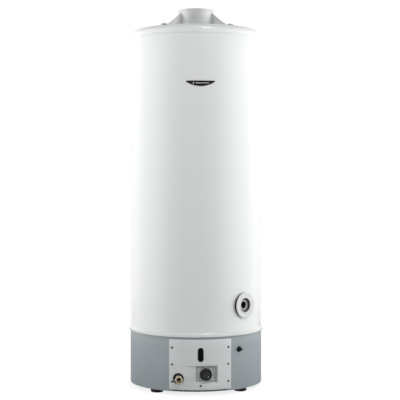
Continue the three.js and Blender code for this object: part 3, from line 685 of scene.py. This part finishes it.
# %% Lid
LID, FLUE_HOLE = 248.5, 52.3
LID_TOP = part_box("top_cover")[1].z / MM
lid = turned([
    (LID, JACKET_HIGH - 8), (LID, JACKET_HIGH + 2.4), (LID + 1.4, JACKET_HIGH + 3.4),
    (LID + 1.4, JACKET_HIGH + 5.4), (LID, JACKET_HIGH + 8.8), (LID, LID_TOP),
    (FLUE_HOLE, LID_TOP), (FLUE_HOLE, LID_TOP - SHEET), (LID - SHEET, LID_TOP - SHEET),
    (LID - SHEET, JACKET_HIGH - 8),
], 192, rounds=[(3, 0.8, 3), (5, 28, 16), (8, 26.8, 16)], soft=0.3)
piece(lid, "lid_shell", "white_enamel", "top_cover", smooth=40)

# %% [markdown]
# The base skirt is the same sheet in grey, and all of it but a rail at the top is open at the
# front, behind the access panel. A rectangle is spun into the whole tube. A thicker rectangle is
# spun through part of the circle, and it cuts the opening, as the igniter's drill cuts its hole.
# The profile has a point above and below that hole, as the jacket's has at its ports.

# %% Base skirt
SKIRT = 249.6
OPENING = 22.9
RAIL = 194.0
LEVELS = (150, 174)
skirt = turned([
    (SKIRT - SHEET, 15), (SKIRT, 15), *[(SKIRT, level) for level in LEVELS], (SKIRT, 219),
    (SKIRT - SHEET, 219), *[(SKIRT - SHEET, level) for level in reversed(LEVELS)],
], 192)
doorway = turned(
    [(240, 5), (260, 5), (260, RAIL), (240, RAIL)], 24, sweep=2 * OPENING, start=-OPENING - 90
)
IGNITER = (35.0, 162.0)
cut(skirt, doorway, station(drum(8.6, 235, 262, 32), *IGNITER))
soften(skirt, 0.35)
piece(skirt, "skirt_sheet", "grey_enamel", "base_skirt", smooth=40)

# %% [markdown]
# Each foot is a turned rubber pad with two grip grooves and a threaded stud that is screwed into
# the pan. One is turned, and three copies are placed.

# %% Feet
foot = turned([
    (0, 0), (19, 0), (20, 0.8), (21.6, 0.8), (23.5, 3), (23.5, 5), (22.8, 5.6), (22.8, 6.6),
    (23.5, 7.2), (23.5, 8.6), (22.8, 9.2), (22.8, 10.2), (23.5, 10.8), (23.5, 13),
    (21.8, 14.7), (4, 14.7), (4, 22.6), (3, 24), (0, 24),
], 48)
FOOT_RING = 217.0
for number, angle in enumerate((-45, 45, 135, 225), 1):
    pad = twin(foot)
    pad.location = around_axis(angle, FOOT_RING * MM)
    piece(pad, f"rubber_foot_{number}", "rubber", f"foot_{number}")
bpy.data.objects.remove(foot)

# %% [markdown]
# The access panel is a curved sheet with its four edges turned back and a pressed recess in front
# of the gas control. It is spun arc by arc, so that lines of the mesh fall exactly on the edges of
# the recess and of its window. The recess's faces are extruded and scaled towards the heater's
# axis, its left part is then eased out column by column into a ramp, and the sheet gets its
# thickness last. The sight slot and the gas inlet's hole are cut through the finished sheet.

# %% Access panel
PANEL = 252.5
RECESS_FLOOR = 245.5
PANEL_EDGE, RAMP_START, RAMP_END, RECESS_END = 26.5, -13.75, -4.1, 14.1
RAMP_STEPS = 20
RECESS_LOW, RECESS_TOP = 46, 108
WINDOW = (-3.95, 13.95, 49.5, 107)
ARCS = [
    (-PANEL_EDGE, RAMP_START, 24), (RAMP_START, RAMP_END, RAMP_STEPS), (RAMP_END, WINDOW[0], 1),
    (WINDOW[0], WINDOW[1], 36), (WINDOW[1], RECESS_END, 1), (RECESS_END, PANEL_EDGE, 24),
]
ROWS = (22, RECESS_LOW, WINDOW[2], WINDOW[3], RECESS_TOP, 121, 177, 204)


def heading(point):
    return math.degrees(math.atan2(point.x, -point.y))


def reach_of(point):
    return math.hypot(point.x, point.y) / MM


panel = draw([around_axis(ARCS[0][0], PANEL) + Vector((0, 0, row)) for row in ROWS], close=False)
everything()
for low, high, steps in ARCS:
    turn = math.radians(low - high)
    bpy.ops.mesh.spin(steps=steps, angle=turn, center=(0, 0, 0), axis=(0, 0, 1))
tidy_mesh(panel)
spans = [round(heading(vertex.co), 2) for vertex in panel.data.vertices]
print("panel spans", min(spans), max(spans))

# %% Press the recess and its ramp


def in_window(face, low, high, bottom, top):
    middle = face.calc_center_median()
    return low < heading(middle) < high and bottom < middle.z / MM < top


edit(panel)
pick("FACE", lambda face: face.calc_center_median().length > 0)
bpy.ops.mesh.normals_make_consistent(inside=False)
pick("FACE", lambda face: in_window(face, RAMP_START, RECESS_END, RECESS_LOW, RECESS_TOP))
extrude()
scale_about_axis(RECESS_FLOOR / PANEL)
start, end = around_axis(RAMP_START, PANEL), around_axis(RAMP_END, RECESS_FLOOR)
run = end - start
for step in range(RAMP_STEPS):
    angle = RAMP_START + (RAMP_END - RAMP_START) * step / RAMP_STEPS
    ray = around_axis(angle, 1)
    reach = (start.x * run.y - start.y * run.x) / (ray.x * run.y - ray.y * run.x)
    pick("VERT", lambda v: reach_of(v.co) < PANEL - 1 and abs(heading(v.co) - angle) < 0.05)
    scale_about_axis(reach / RECESS_FLOOR)
pick(
    "FACE",
    lambda face: in_window(face, *WINDOW) and reach_of(face.calc_center_median()) < 247,
)
bpy.ops.mesh.delete(type="FACE")
everything()
bpy.ops.mesh.remove_doubles(threshold=2e-6)

# %% Round the recess's rim, turn the edges back, add thickness and cut the holes
SHARP_FROM = -9.9
EDGE_TURN = 2.1


def on_rim(edge):
    if any(reach_of(v.co) < PANEL - 0.2 for v in edge.verts):
        return False
    middle = (edge.verts[0].co + edge.verts[1].co) / 2
    angle, height = heading(middle), middle.z / MM
    upright = abs(edge.verts[0].co.z - edge.verts[1].co.z) > 1e-4
    if upright:
        return abs(angle - RECESS_END) < 0.02 and RECESS_LOW < height < RECESS_TOP
    level = min(abs(height - RECESS_LOW), abs(height - RECESS_TOP)) < 0.01
    return level and SHARP_FROM < angle < RECESS_END


print("rim edges", pick("EDGE", on_rim))
bpy.ops.mesh.bevel(offset=1.3 * MM, segments=3, affect="EDGES", clamp_overlap=True)


def on_border(edge):
    return edge.is_boundary and min(reach_of(v.co) for v in edge.verts) > PANEL - 0.2


print("border edges", pick("EDGE", on_border))
extrude()
scale_about_axis((PANEL - EDGE_TURN) / PANEL)
soften(panel, 0.9, 3, 60)
modified(panel, "Sheet", "SOLIDIFY", thickness=SHEET * MM, offset=-1, use_even_offset=True)
SIGHT_Z = 149.0
INLET = (-18.4, 62.5)
cut(
    panel,
    station(slab(21.6, 51.6, 10.6, 240, 262, 10), 0, SIGHT_Z),
    station(drum(17.2, 235, 265, 64), *INLET),
)
piece(panel, "access_panel", "panel_sheet", "front_panel", smooth=35)

# %% [markdown]
# Seven self-tapping screws hold the panel and three more hold the hood. A pan head with a small
# washer face is turned and a cross recess is cut into it. Copies are turned to different angles,
# because a driver never leaves two screws the same.

# %% Screws
SCREW_FACE = PANEL + 0.4


def cross_cut(item, top, size, depth):
    for width, height in ((size, size * 0.24), (size * 0.24, size)):
        cut(item, slab(width, height, 0, top - depth, top + 1))


panel_screw = turned([
    (0, -12.9), (1.2, -12.9), (1.8, -10.9), (1.8, 0), (4, 0), (4, 0.5), (3.5, 0.7),
    (3.2, 1.5), (2.2, 2.0), (0, 2.1),
], 32, base=SCREW_FACE)
cross_cut(panel_screw, SCREW_FACE + 2.1, 3.6, 1.2)
SCREW_SIDE, SCREW_HEIGHTS, LOW_SCREW = 23.85, (50.5, 112.7, 174.0), (0.0, 37.3)
places = [(side, height) for side in (-SCREW_SIDE, SCREW_SIDE) for height in SCREW_HEIGHTS]
for number, (angle, height) in enumerate([*places, LOW_SCREW], 1):
    screw = spun_to(twin(panel_screw), 17 * number)
    station(screw, angle, height)
    piece(screw, f"cross_screw_{number}", "screw_steel", f"panel_screw_{number}")
bpy.data.objects.remove(panel_screw)

# %% [markdown]
# The sight window lets a user see the flame. Its moulded black frame is a long rounded slot with
# a raised lip and a back flange, and a near-black pane sits in it, its colour painted shade for
# the unlit chamber behind. A plate is rounded until it is a slot, the opening is cut from it, and
# a softened edge gives it the thin highlight of a moulding.

# %% Sight window
frame_front = slab(21, 51, 10.3, 246.5, 252.9, 10)
frame_back = slab(26, 56, 12.5, 246.5, 248.1, 10)
sight = weld(frame_front, frame_back)
cut(sight, slab(13, 43, 6.3, 240, 260, 10))
soften(sight, 0.5, 2, 40)
piece(station(sight, 0, SIGHT_Z), "sight_surround", "black_plastic", "sight_frame")
# The pane's near-black finish is painted shade for the dark chamber behind the window.
pane = soften(slab(12.4, 42.4, 6.0, 247.5, 250.5, 10), 0.8, 3, 40)
piece(station(pane, 0, SIGHT_Z), "sight_pane", "dark_glass", "sight_glass")

# %% [markdown]
# The gas control shows as a grey moulded faceplate at the bottom of the recess. It has a raised
# border, a shallow dial ring around the knob and graduation marks. The marks are small raised
# bars copied around the dial, in a darker print colour, with dots for the lighting positions.

# %% Control faceplate
CONTROL = (5.0, 78.25)
KNOB_X = -3.0
PLATE_BACK, PLATE_FRONT = 239.5, 243.2
plate = slab(75.2, 56.0, 3, PLATE_BACK, PLATE_FRONT)
edit(plate)
pick("FACE", lambda face: face.normal.z > 0.9)
bpy.ops.mesh.inset(thickness=2.2 * MM, depth=0)
bpy.ops.mesh.inset(thickness=0.5 * MM, depth=-0.7 * MM)
to_objects()
dial = turned(
    [(23.6, -1.2), (25.6, -1.2), (25.1, 0.1), (24.1, 0.1)], 64, base=PLATE_FRONT
)
weld(plate, shifted(dial, KNOB_X))
cut(plate, drum(4.3, 230, 250, 32, centre=(KNOB_X, 0)))
soften(plate, 0.3, 2, 40)
piece(station(plate, *CONTROL), "control_faceplate", "grey_plastic", "gas_control_faceplate")

# %% Dial marks
MARK_BASE, MARK_RISE = PLATE_FRONT - 0.8, 0.5
FRAME_LINE = 23.6
SHORTEST = 0.7


def mark(width, height, corner, segments, centre):
    return slab(width, height, corner, MARK_BASE, MARK_BASE + MARK_RISE, segments, centre=centre)


bars = []
for index in range(20):
    bearing = 90 + 15 * index
    rise = abs(math.sin(math.radians(bearing)))
    inner = 26.4 if rise > 0.3 else 27.0
    width, length = (0.6, 1.4) if index % 3 else (0.9, 2.6)
    length = min(length, FRAME_LINE / rise - inner)
    if length >= SHORTEST:
        bars.append(spun_to(mark(length, width, 0.25, 2, (inner + length / 2, 0)), bearing))
for x, y, size in ((28, 17, 1.9), (33.5, 17, 1.2), (28, -14, 1.2), (32.5, -14, 1.9),
                   (30, 9, 1.2), (30, -6, 1.2)):
    bars.append(soften(mark(size * 2, size * 2, size * 0.9, 5, (x, y)), 0.1))
for row in range(4):
    bars.append(mark(7.0 - row, 0.8, 0.3, 3, (31.5, 5 - 3.2 * row)))
for side in (-1, 1):
    bars.append(mark(0.9, 49, 0.3, 3, (34.0 * side - KNOB_X, 0)))
    bars.append(mark(67, 0.9, 0.3, 3, (-KNOB_X, 24.6 * side)))
marks = shifted(gather(*bars), KNOB_X)
piece(station(marks, *CONTROL), "dial_marks", "black_plastic")

# %% [markdown]
# The knob is pushed in to light the pilot and turned to set the heat. It is a black moulding: a
# thin skirt, a fluted grip and a dished face with a raised finger bar. It is turned first, the
# flutes are pressed in by extruding every third side face, and the pointer is welded on.

# %% Temperature knob
KNOB_BACK, KNOB_FRONT = 249.5, 265.0
knob = turned([
    (4.3, KNOB_BACK), (19.25, KNOB_BACK), (21.75, KNOB_BACK + 1.5), (21.75, KNOB_BACK + 3.0),
    (20.9, KNOB_BACK + 3.8), (20.6, KNOB_FRONT - 2.6), (19.8, KNOB_FRONT - 0.8),
    (18.4, KNOB_FRONT), (16.6, KNOB_FRONT - 0.2), (15.6, KNOB_FRONT - 1.4), (0, KNOB_FRONT - 1.6),
    (0, KNOB_FRONT - 2.7), (4.3, KNOB_FRONT - 2.7),
], 90)
edit(knob)
GRIP_MIDDLE = (KNOB_BACK + 3.8 + KNOB_FRONT - 2.6) / 2


def flute(face):
    middle = face.calc_center_median()
    column = int(round((math.degrees(math.atan2(middle.y, middle.x)) - 2) / 4)) % 90
    on_grip = abs(middle.z / MM - GRIP_MIDDLE) < 0.6 and reach_of(middle) > 20
    return on_grip and column % 3 == 0


print("flutes", pick("FACE", flute))
bpy.ops.mesh.inset(thickness=0.3 * MM, depth=0, use_individual=True)
extrude()
scale_about_axis(0.965)
to_objects()
pointer = slab(6, 6.4, 1.0, KNOB_BACK + 1.5, KNOB_FRONT - 1.5, 4, centre=(0, 20.5))
weld(knob, soften(pointer, 0.5, 2, 50))
shifted(knob, KNOB_X)
piece(station(knob, *CONTROL), "heat_knob", "black_plastic", "temperature_knob", body="knob")

# %% [markdown]
# The dish of the knob holds a dark grey cap, and a short white line on the finger bar shows the
# setting. A small white spot on the cap is a painted highlight, a glint of light on the cap.
# Separate pieces let each have its own finish while they all ride with the knob.

# %% Knob cap, index line and painted highlight spot
cap = turned(
    [(0, -1.5), (15.3, -1.4), (15.3, -1.0), (14.7, -0.6), (11.0, -0.5), (9.6, -0.9), (0, -1.1)],
    64,
    base=KNOB_FRONT,
)
shifted(cap, KNOB_X)
piece(station(cap, *CONTROL), "knob_cap", "black_plastic", body="knob", special="dial_grey")
index_line = slab(1.2, 4.2, 0.5, KNOB_FRONT - 1.6, KNOB_FRONT - 1.35, 3, centre=(KNOB_X, 20.6))
piece(station(index_line, *CONTROL), "index_line", "white_plastic", body="knob")
# The small white disc on the cap is a painted highlight, where light glints on the cap's face.
highlight_spot = turned([(0, -1.1), (1.5, -1.1), (1.5, -0.7), (1.1, -0.5), (0, -0.45)], 20, base=KNOB_FRONT)
shifted(highlight_spot, KNOB_X + 7.6, -7.4)
piece(station(highlight_spot, *CONTROL), "painted_highlight_spot", "white_plastic", body="knob")

# %% [markdown]
# Two springs hold the knob and the igniter's button out. A round wire section is set beside the
# axis and a screw modifier winds it up.

# %% Springs


def coil(radius, wire, bottom, top, turns):
    to_objects()
    start = (radius * MM, 0, (bottom + wire) * MM)
    bpy.ops.mesh.primitive_circle_add(vertices=14, radius=wire * MM, location=start)
    item = bpy.context.object
    item.rotation_euler = (math.pi / 2, 0, 0)
    modified(settle(item), "Winding", "SCREW", axis="Z", angle=2 * math.pi * turns,
             screw_offset=(top - bottom - 2 * wire) * MM, steps=28 * turns,
             render_steps=28 * turns, use_smooth_shade=True)
    edit(item)
    everything()
    bpy.ops.mesh.fill_holes(sides=0)
    bpy.ops.mesh.normals_make_consistent(inside=False)
    to_objects()
    return item


def spring_piece(item, name, node, where, inner):
    angle, height = where
    foot_point = around_axis(angle, inner * MM)
    foot_point.z = height * MM
    piece(station(item, angle, height), name, "screw_steel", node)
    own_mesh(item)


spring_piece(shifted(coil(5.8, 0.8, 205.5, 225.9, 5), KNOB_X), "knob_return_spring", "knob_spring",
             CONTROL, 205.5)
spring_piece(coil(3.2, 0.5, 222.5, 237.9, 4), "button_return_spring", "igniter_spring",
             IGNITER, 222.5)

# %% [markdown]
# The gas enters through a rubber grommet in the panel. The grommet is a turned ring with a groove
# that grips the sheet and a rounded lip, and it sits square in the curved panel. The pipe passes
# through it straight to the front, and ends in a swaged ferrule, which the brass union nut holds.
# Only the pipe's mouth is seen, so a finely turned mouth is added to the bent pipe.

# %% Grommet and pipe mouth
grommet = turned([
    (10.2, 246.4), (18.2, 246.4), (18.2, 249.4), (16.7, 249.4), (16.7, 252.8), (20.25, 252.8),
    (20.25, 255.2), (18.9, 256.8), (15.6, 256.8), (14.6, 256.1), (12.2, 256.1), (11.4, 256.8),
    (10.2, 256.6),
], 64, rounds=[(6, 0.9, 3), (7, 0.8, 3)])
piece(station(grommet, *INLET), "inlet_grommet", "rubber", "gas_inlet_grommet")
crossing = around_axis(INLET[0], PANEL - 0.5)
UNION = (0.0, INLET[1])
UNION_STANDOFF, UNION_LENGTH = 10.5, 26.0
NUT_BACK = UNION_STANDOFF - crossing.y
NUT_FRONT = NUT_BACK + UNION_LENGTH
mouth = turned([
    (5.4, -17), (7.55, -17), (7.55, 4.85), (9.15, 4.85), (9.15, 8.1), (8.6, 8.6),
    (6.1, 8.6), (5.4, 7.8),
], 48, base=NUT_BACK)
piece(station(shifted(mouth, crossing.x), *UNION), "pipe_mouth", "galvanised")

# %% [markdown]
# The union nut is cut from hexagon bar: its corners are chamfered by a lathe, its inside is bored
# and threaded. The chamfer is the overlap of a hexagonal prism and a turned barrel, and the thread
# is a saw-toothed profile turned into the cutting tool. A real thread also climbs, but a stack of
# even ridges looks the same from outside and leaves a clean, closed mesh.

# %% Union nut
ACROSS_FLATS = 25.0
HEX_CORNER = ACROSS_FLATS / math.sqrt(3)


def thread(outer, depth, bottom, top, pitch):
    ridges = []
    level = bottom
    while level + pitch < top:
        ridges += [(outer - depth, level), (outer, level + pitch / 2)]
        level += pitch
    return ridges + [(outer - depth, level)]


nut = prism(hexagon(HEX_CORNER), NUT_BACK, NUT_FRONT)
barrel = turned([
    (0, NUT_BACK), (HEX_CORNER - 1.6, NUT_BACK), (HEX_CORNER + 0.1, NUT_BACK + 1.3),
    (HEX_CORNER + 0.1, NUT_FRONT - 1.3), (HEX_CORNER - 1.6, NUT_FRONT), (0, NUT_FRONT),
], 72)
combine(nut, "INTERSECT", [barrel])
cut(nut, drum(7.8, NUT_BACK - 5, NUT_FRONT - 10, 48))
seat = NUT_BACK + 4.6
bore = turned([
    (0, seat), (9.6, seat), *thread(10.3, 0.7, seat + 1.5, NUT_FRONT - 1.6, 1.8),
    (10.4, NUT_FRONT - 0.9), (11.3, NUT_FRONT + 0.3), (0, NUT_FRONT + 0.3),
], 48)
cut(nut, bore)
soften(nut, 0.25, 2, 35)
piece(station(shifted(nut, crossing.x), *UNION), "union_nut", "brass", "gas_union_nut")

# %% [markdown]
# The igniter is pushed in by hand until it sparks. Its housing has a hexagonal flange for a
# spanner and a round boss with the bore for the button. The button is a turned plunger with two
# grip grooves and a tapered nose, and it rides with its own body.

# %% Igniter
housing = turned([
    (0, 219.2), (8, 219.2), (8, 250.2), (9.4, 250.2), (9.4, 252.8), (8.8, 253.4),
    (5.4, 253.4), (4.8, 252.9), (4.8, 222.2), (0, 222.2),
], 48)
flange = soften(prism(hexagon(11.5), 250.2, 252.2), 0.35, 2, 40)
cut(flange, drum(9.0, 245, 258, 48))
weld(housing, flange)
piece(station(housing, *IGNITER), "igniter_collar", "black_plastic", "igniter_housing")
button = turned([
    (0, 238.2), (4.5, 238.2), (4.5, 257.0), (4.2, 257.4), (4.2, 258.0), (4.5, 258.4),
    (4.5, 259.4), (4.2, 259.8), (4.2, 260.4), (4.5, 260.8), (4.5, 263.4), (4.0, 266.2),
    (3.0, 267.6), (1.6, 268.0), (0, 268.05),
], 40)
piece(station(button, *IGNITER), "push_button", "black_plastic", "igniter_button", body="button")

# %% [markdown]
# Each water port is a steel socket welded to the tank, seen through a hole in the jacket. A rubber
# gasket fits the jacket's curve and a white trim ring covers it; the gasket's black also paints
# the shade in the gap under the ring's edge. The gasket starts as a turned ring, and the jacket's
# own cylinder is cut from it so that it sits down all round. A grey ring closes the well around
# the socket, in a dark grey that paints the shade of the well. A black liner in the socket carries
# the internal thread, made of turned ridges again, and its black paints the shade deep in the
# bore.

# %% Water ports


def port(prefix, place_name, where):
    # The gasket is real, and its black rubber also paints the shade in the gap under the trim
    # ring's edge.
    gasket = turned([(26.5, 236), (44, 236), (44, 256.2), (26.5, 256.2)], 72)
    station(gasket, *where)
    cut(gasket, drum(BODY + 0.35, where[1] - 60, where[1] + 60, 256))
    soften(gasket, 0.6, 2, 40)
    piece(gasket, prefix + "_gasket", "rubber", place_name + "_port_gasket")
    well = turned([(17.9, 246.4), (26.3, 247.4), (26.3, 248.7), (17.9, 247.7)], 64)
    # The well ring wears the darker grey, painted shade of the recess around the socket.
    piece(station(well, *where), prefix + "_well", "grey_plastic", special="well_grey")
    trim = turned([
        (26, 256.5), (45.3, 256.5), (46.5, 257.5), (46.5, 258.9), (45.4, 260.0), (41.0, 260.0),
        (31.0, 258.9), (29.6, 259.4), (27.4, 259.4), (26, 258.4),
    ], 96, rounds=[(4, 0.8, 3), (5, 1.6, 3)])
    piece(station(trim, *where), prefix + "_trim", "white_plastic", place_name + "_port_ring")
    socket = turned([
        (13.5, 216), (17.5, 216), (17.5, 249.2), (16.8, 250), (14.2, 250), (13.5, 249.2),
    ], 64)
    piece(station(socket, *where), prefix + "_socket", "galvanised", place_name + "_port_socket")
    ridges = thread(13.1, 0.6, 219, 248.4, 1.8)
    # The liner carries the thread, and its black is painted shade, the dark deep inside the
    # socket's bore.
    bore_shade_liner = turned([(12.5, 217), (13.4, 217), (13.4, 248.6), *reversed(ridges)], 64)
    piece(station(bore_shade_liner, *where), prefix + "_liner", "black_plastic")


port("cold_water", "cold", COLD)
port("hot_water", "hot", HOT)

# %% [markdown]
# The badge is a thin black plate with a straight top and a bowed lower edge, bent to the jacket's
# curve. It is drawn flat, given its thickness, cut into narrow strips so that it can bend, and
# bent by a modifier whose angle is its width over its radius. A plain silver bar and a drop stand
# in the middle; the plate carries no lettering.

# %% Badge
BADGE_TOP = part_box("badge_plate")[1].z / MM
BADGE_BACK = BODY + 0.3
BADGE_HALF = 52
MARK_WIDTH = 57.4
STRIPS = 32


def bent(item, width, radius, height):
    """Bends a plate that faces -y around the upright axis, and moves it out to its radius."""
    edit(item)
    for strip in range(1, STRIPS):
        across = (strip / STRIPS - 0.5) * width * MM
        everything()
        bpy.ops.mesh.bisect(plane_co=(across, 0, 0), plane_no=(1, 0, 0))
    turn = width / radius
    modified(item, "Bend", "SIMPLE_DEFORM", deform_method="BEND", deform_axis="Z", angle=turn)
    item.location = (0, -radius * MM, height * MM)
    return settle(item)


def upright_plate(outline, front, soft):
    """A plate of an outline in x and z, its back at y = 0 and its face towards -y."""
    item = station(prism(outline, 0, front), 0, 0)
    return soften(item, soft, 2, 50) if soft else item


def curve_through(start, towards, end, steps):
    """Points of a curve that leaves start towards a middle point and arrives at end."""
    points = []
    for share in (step / steps for step in range(steps + 1)):
        pulls = ((1 - share) ** 2, 2 * share * (1 - share), share**2)
        points.append([sum(map(math.prod, zip(pulls, ways))) for ways in zip(start, towards, end)])
    return points


bow = curve_through((-BADGE_HALF, -4), (0, -35.4), (BADGE_HALF, -4), 24)
badge = upright_plate([(-BADGE_HALF, 0), *bow, (BADGE_HALF, 0)], 1.7, 0.35)
bent(badge, 2 * BADGE_HALF, BADGE_BACK, BADGE_TOP)
piece(badge, "jacket_badge", "black_plastic", "badge_plate", smooth=40)

# %% Badge emblem
bar = upright_plate(
    [(-18, -9.6), (30, -9.6), (31, -8.4), (30, -7.2), (-18, -7.2), (-19, -8.4)], 0.35, 0.0
)
swell = [
    (-26 + 2.4 * math.sin(math.radians(turn)), -9.0 - 2.4 * math.cos(math.radians(turn)))
    for turn in range(-130, 131, 20)
]
drop = upright_plate([*swell, (-26, -3.6)], 0.35, 0.0)
emblem = bent(gather(bar, drop), MARK_WIDTH, BADGE_BACK + 1.6, BADGE_TOP)
piece(emblem, "badge_mark", "galvanised")

# %% [markdown]
# The draft hood stands over the flue on three legs, so that room air can join the flue gas. Its
# collar is a short tube with a rolled bead at the top. Each leg is a concave gusset welded to a
# small foot plate, which is screwed down through a rubber spacer. One leg is made and copied.

# %% Hood collar
HOOD_LOW, HOOD_HIGH = (corner.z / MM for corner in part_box("hood_collar"))
collar = turned([
    (66, HOOD_LOW), (67.5, HOOD_LOW), (67.5, HOOD_HIGH - 7.6), (68.6, HOOD_HIGH - 6.4),
    (68.6, HOOD_HIGH - 1.2), (67.6, HOOD_HIGH), (66.6, HOOD_HIGH), (66, HOOD_HIGH - 0.8),
], 144, rounds=[(2, 0.8, 2), (3, 0.8, 2)], soft=0.2)
piece(collar, "hood_ring", "galvanised", "hood_collar")

# %% Hood legs, spacers and screws
LEG_LOW = HOOD_LOW - 1
LEG_START, LEG_FOOT, FOOT_CIRCLE, LEG_HEIGHT = 68.0, 133.0, 141.0, 50
DRAWN_IN = (99.85, LEG_LOW + 21)
curve = curve_through((LEG_FOOT, LEG_LOW), DRAWN_IN, (LEG_START, LEG_LOW + LEG_HEIGHT), 16)
spacer = turned([
    (2.8, LID_TOP + 0.3), (9.2, LID_TOP + 0.3), (10, LID_TOP + 1.1), (10, LID_TOP + 6.6),
    (9.3, LID_TOP + 7.4), (9.3, LID_TOP + 9.6), (10, LID_TOP + 10.4), (10, LEG_LOW - 1.1),
    (9.2, LEG_LOW - 0.3), (2.8, LEG_LOW - 0.3),
], 48)
HEAD = LEG_LOW + 1.8
hood_screw = turned([
    (0, LID_TOP - 12), (2.0, LID_TOP - 12), (2.5, LID_TOP - 10), (2.5, HEAD), (5, HEAD),
    (5, HEAD + 0.6), (4.4, HEAD + 2.2), (3.0, HEAD + 3.2), (0, HEAD + 3.4),
], 32)
cross_cut(hood_screw, HEAD + 3.4, 4.6, 1.6)
for number, angle in enumerate((60, 180, -60), 1):
    gusset = station(prism([(LEG_START, LEG_LOW), *curve], -0.75, 0.75), angle - 90, 0)
    tab = slab(32, 24, 6, LEG_LOW, LEG_LOW + 1.5, 5, centre=(FOOT_CIRCLE - 1, 0))
    cut(tab, drum(2.8, LEG_LOW - 5, LEG_LOW + 5, 24, centre=(FOOT_CIRCLE, 0)))
    spun_to(tab, angle - 90)
    leg = soften(weld(gusset, tab), 0.25, 2, 40)
    piece(leg, f"hood_gusset_{number}", "galvanised", f"hood_leg_{number}")
    for source, name, slot, node in (
        (spacer, "rubber_spacer", "rubber", "hood_spacer"),
        (hood_screw, "foot_screw", "screw_steel", "hood_screw"),
    ):
        placed = spun_to(twin(source), 31 * number)
        placed.location = around_axis(angle, FOOT_CIRCLE * MM)
        piece(placed, f"{name}_{number}", slot, f"{node}_{number}")
bpy.data.objects.remove(spacer)
bpy.data.objects.remove(hood_screw)

# %% [markdown]
# The flue tube shows between the lid and the hood, so it is turned finely. The jacket's sheet is
# closed by a lock seam at the rear, a narrow fold that runs from the flare to the lid.

# %% Flue tube and jacket seam
FLUE_LOW, FLUE_HIGH = (corner.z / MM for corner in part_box("flue_tube"))
flue = turned([(47.5, FLUE_LOW), (50, FLUE_LOW), (50, FLUE_HIGH), (47.5, FLUE_HIGH)], 96, soft=0.3)
piece(flue, "flue_pipe", "tank_steel", "flue_tube")
SEAM_LOW, SEAM_HIGH = JACKET_LOW + 16, JACKET_HIGH - 1
seam = turned(
    [(249.6, SEAM_LOW), (250.9, SEAM_LOW), (250.9, SEAM_HIGH), (249.6, SEAM_HIGH)],
    6,
    sweep=3.0,
    start=118.0,
    soft=0.4,
)
piece(seam, "lock_seam", "white_enamel")

# %% [markdown]
# A pale floor lies under the object. Part of its brightness is its own, as if it were lit from
# below, so that no horizon shows against the paper behind it and the feet darken it only softly.
# The light it throws back up at the object is turned down, because a real studio floor is mostly
# out of the lamps' reach, and the sheet of paper is small, so the glossy jacket reflects mostly
# the bright room.

# %% Floor
FLOOR_BOUNCE = 0.55
FLOOR_SHADE = 0.32
FLOOR_GLOW = 0.82
FLOOR_SIZE = 3.6
to_objects()
bpy.ops.mesh.primitive_plane_add(size=FLOOR_SIZE, location=(0, 0, 0))
floor = bpy.context.object
floor.name = "studio_floor"
ground = bpy.data.materials.new("floor_paper")
ground.use_nodes = True
paper_tree = ground.node_tree
matt = paper_tree.nodes["Principled BSDF"]
preset(matt, Roughness=0.9, Emission_Color=grey(1))
rays = put(paper_tree, "LightPath")
by_camera = rays.outputs["Is Camera Ray"]
shade = blend(paper_tree, by_camera, grey(FLOOR_BOUNCE), grey(FLOOR_SHADE))
join(paper_tree, shade, matt.inputs["Base Color"])
own_light = math_node(paper_tree, "MULTIPLY", by_camera, FLOOR_GLOW)
join(paper_tree, own_light, matt.inputs["Emission Strength"])
floor.data.materials.append(ground)
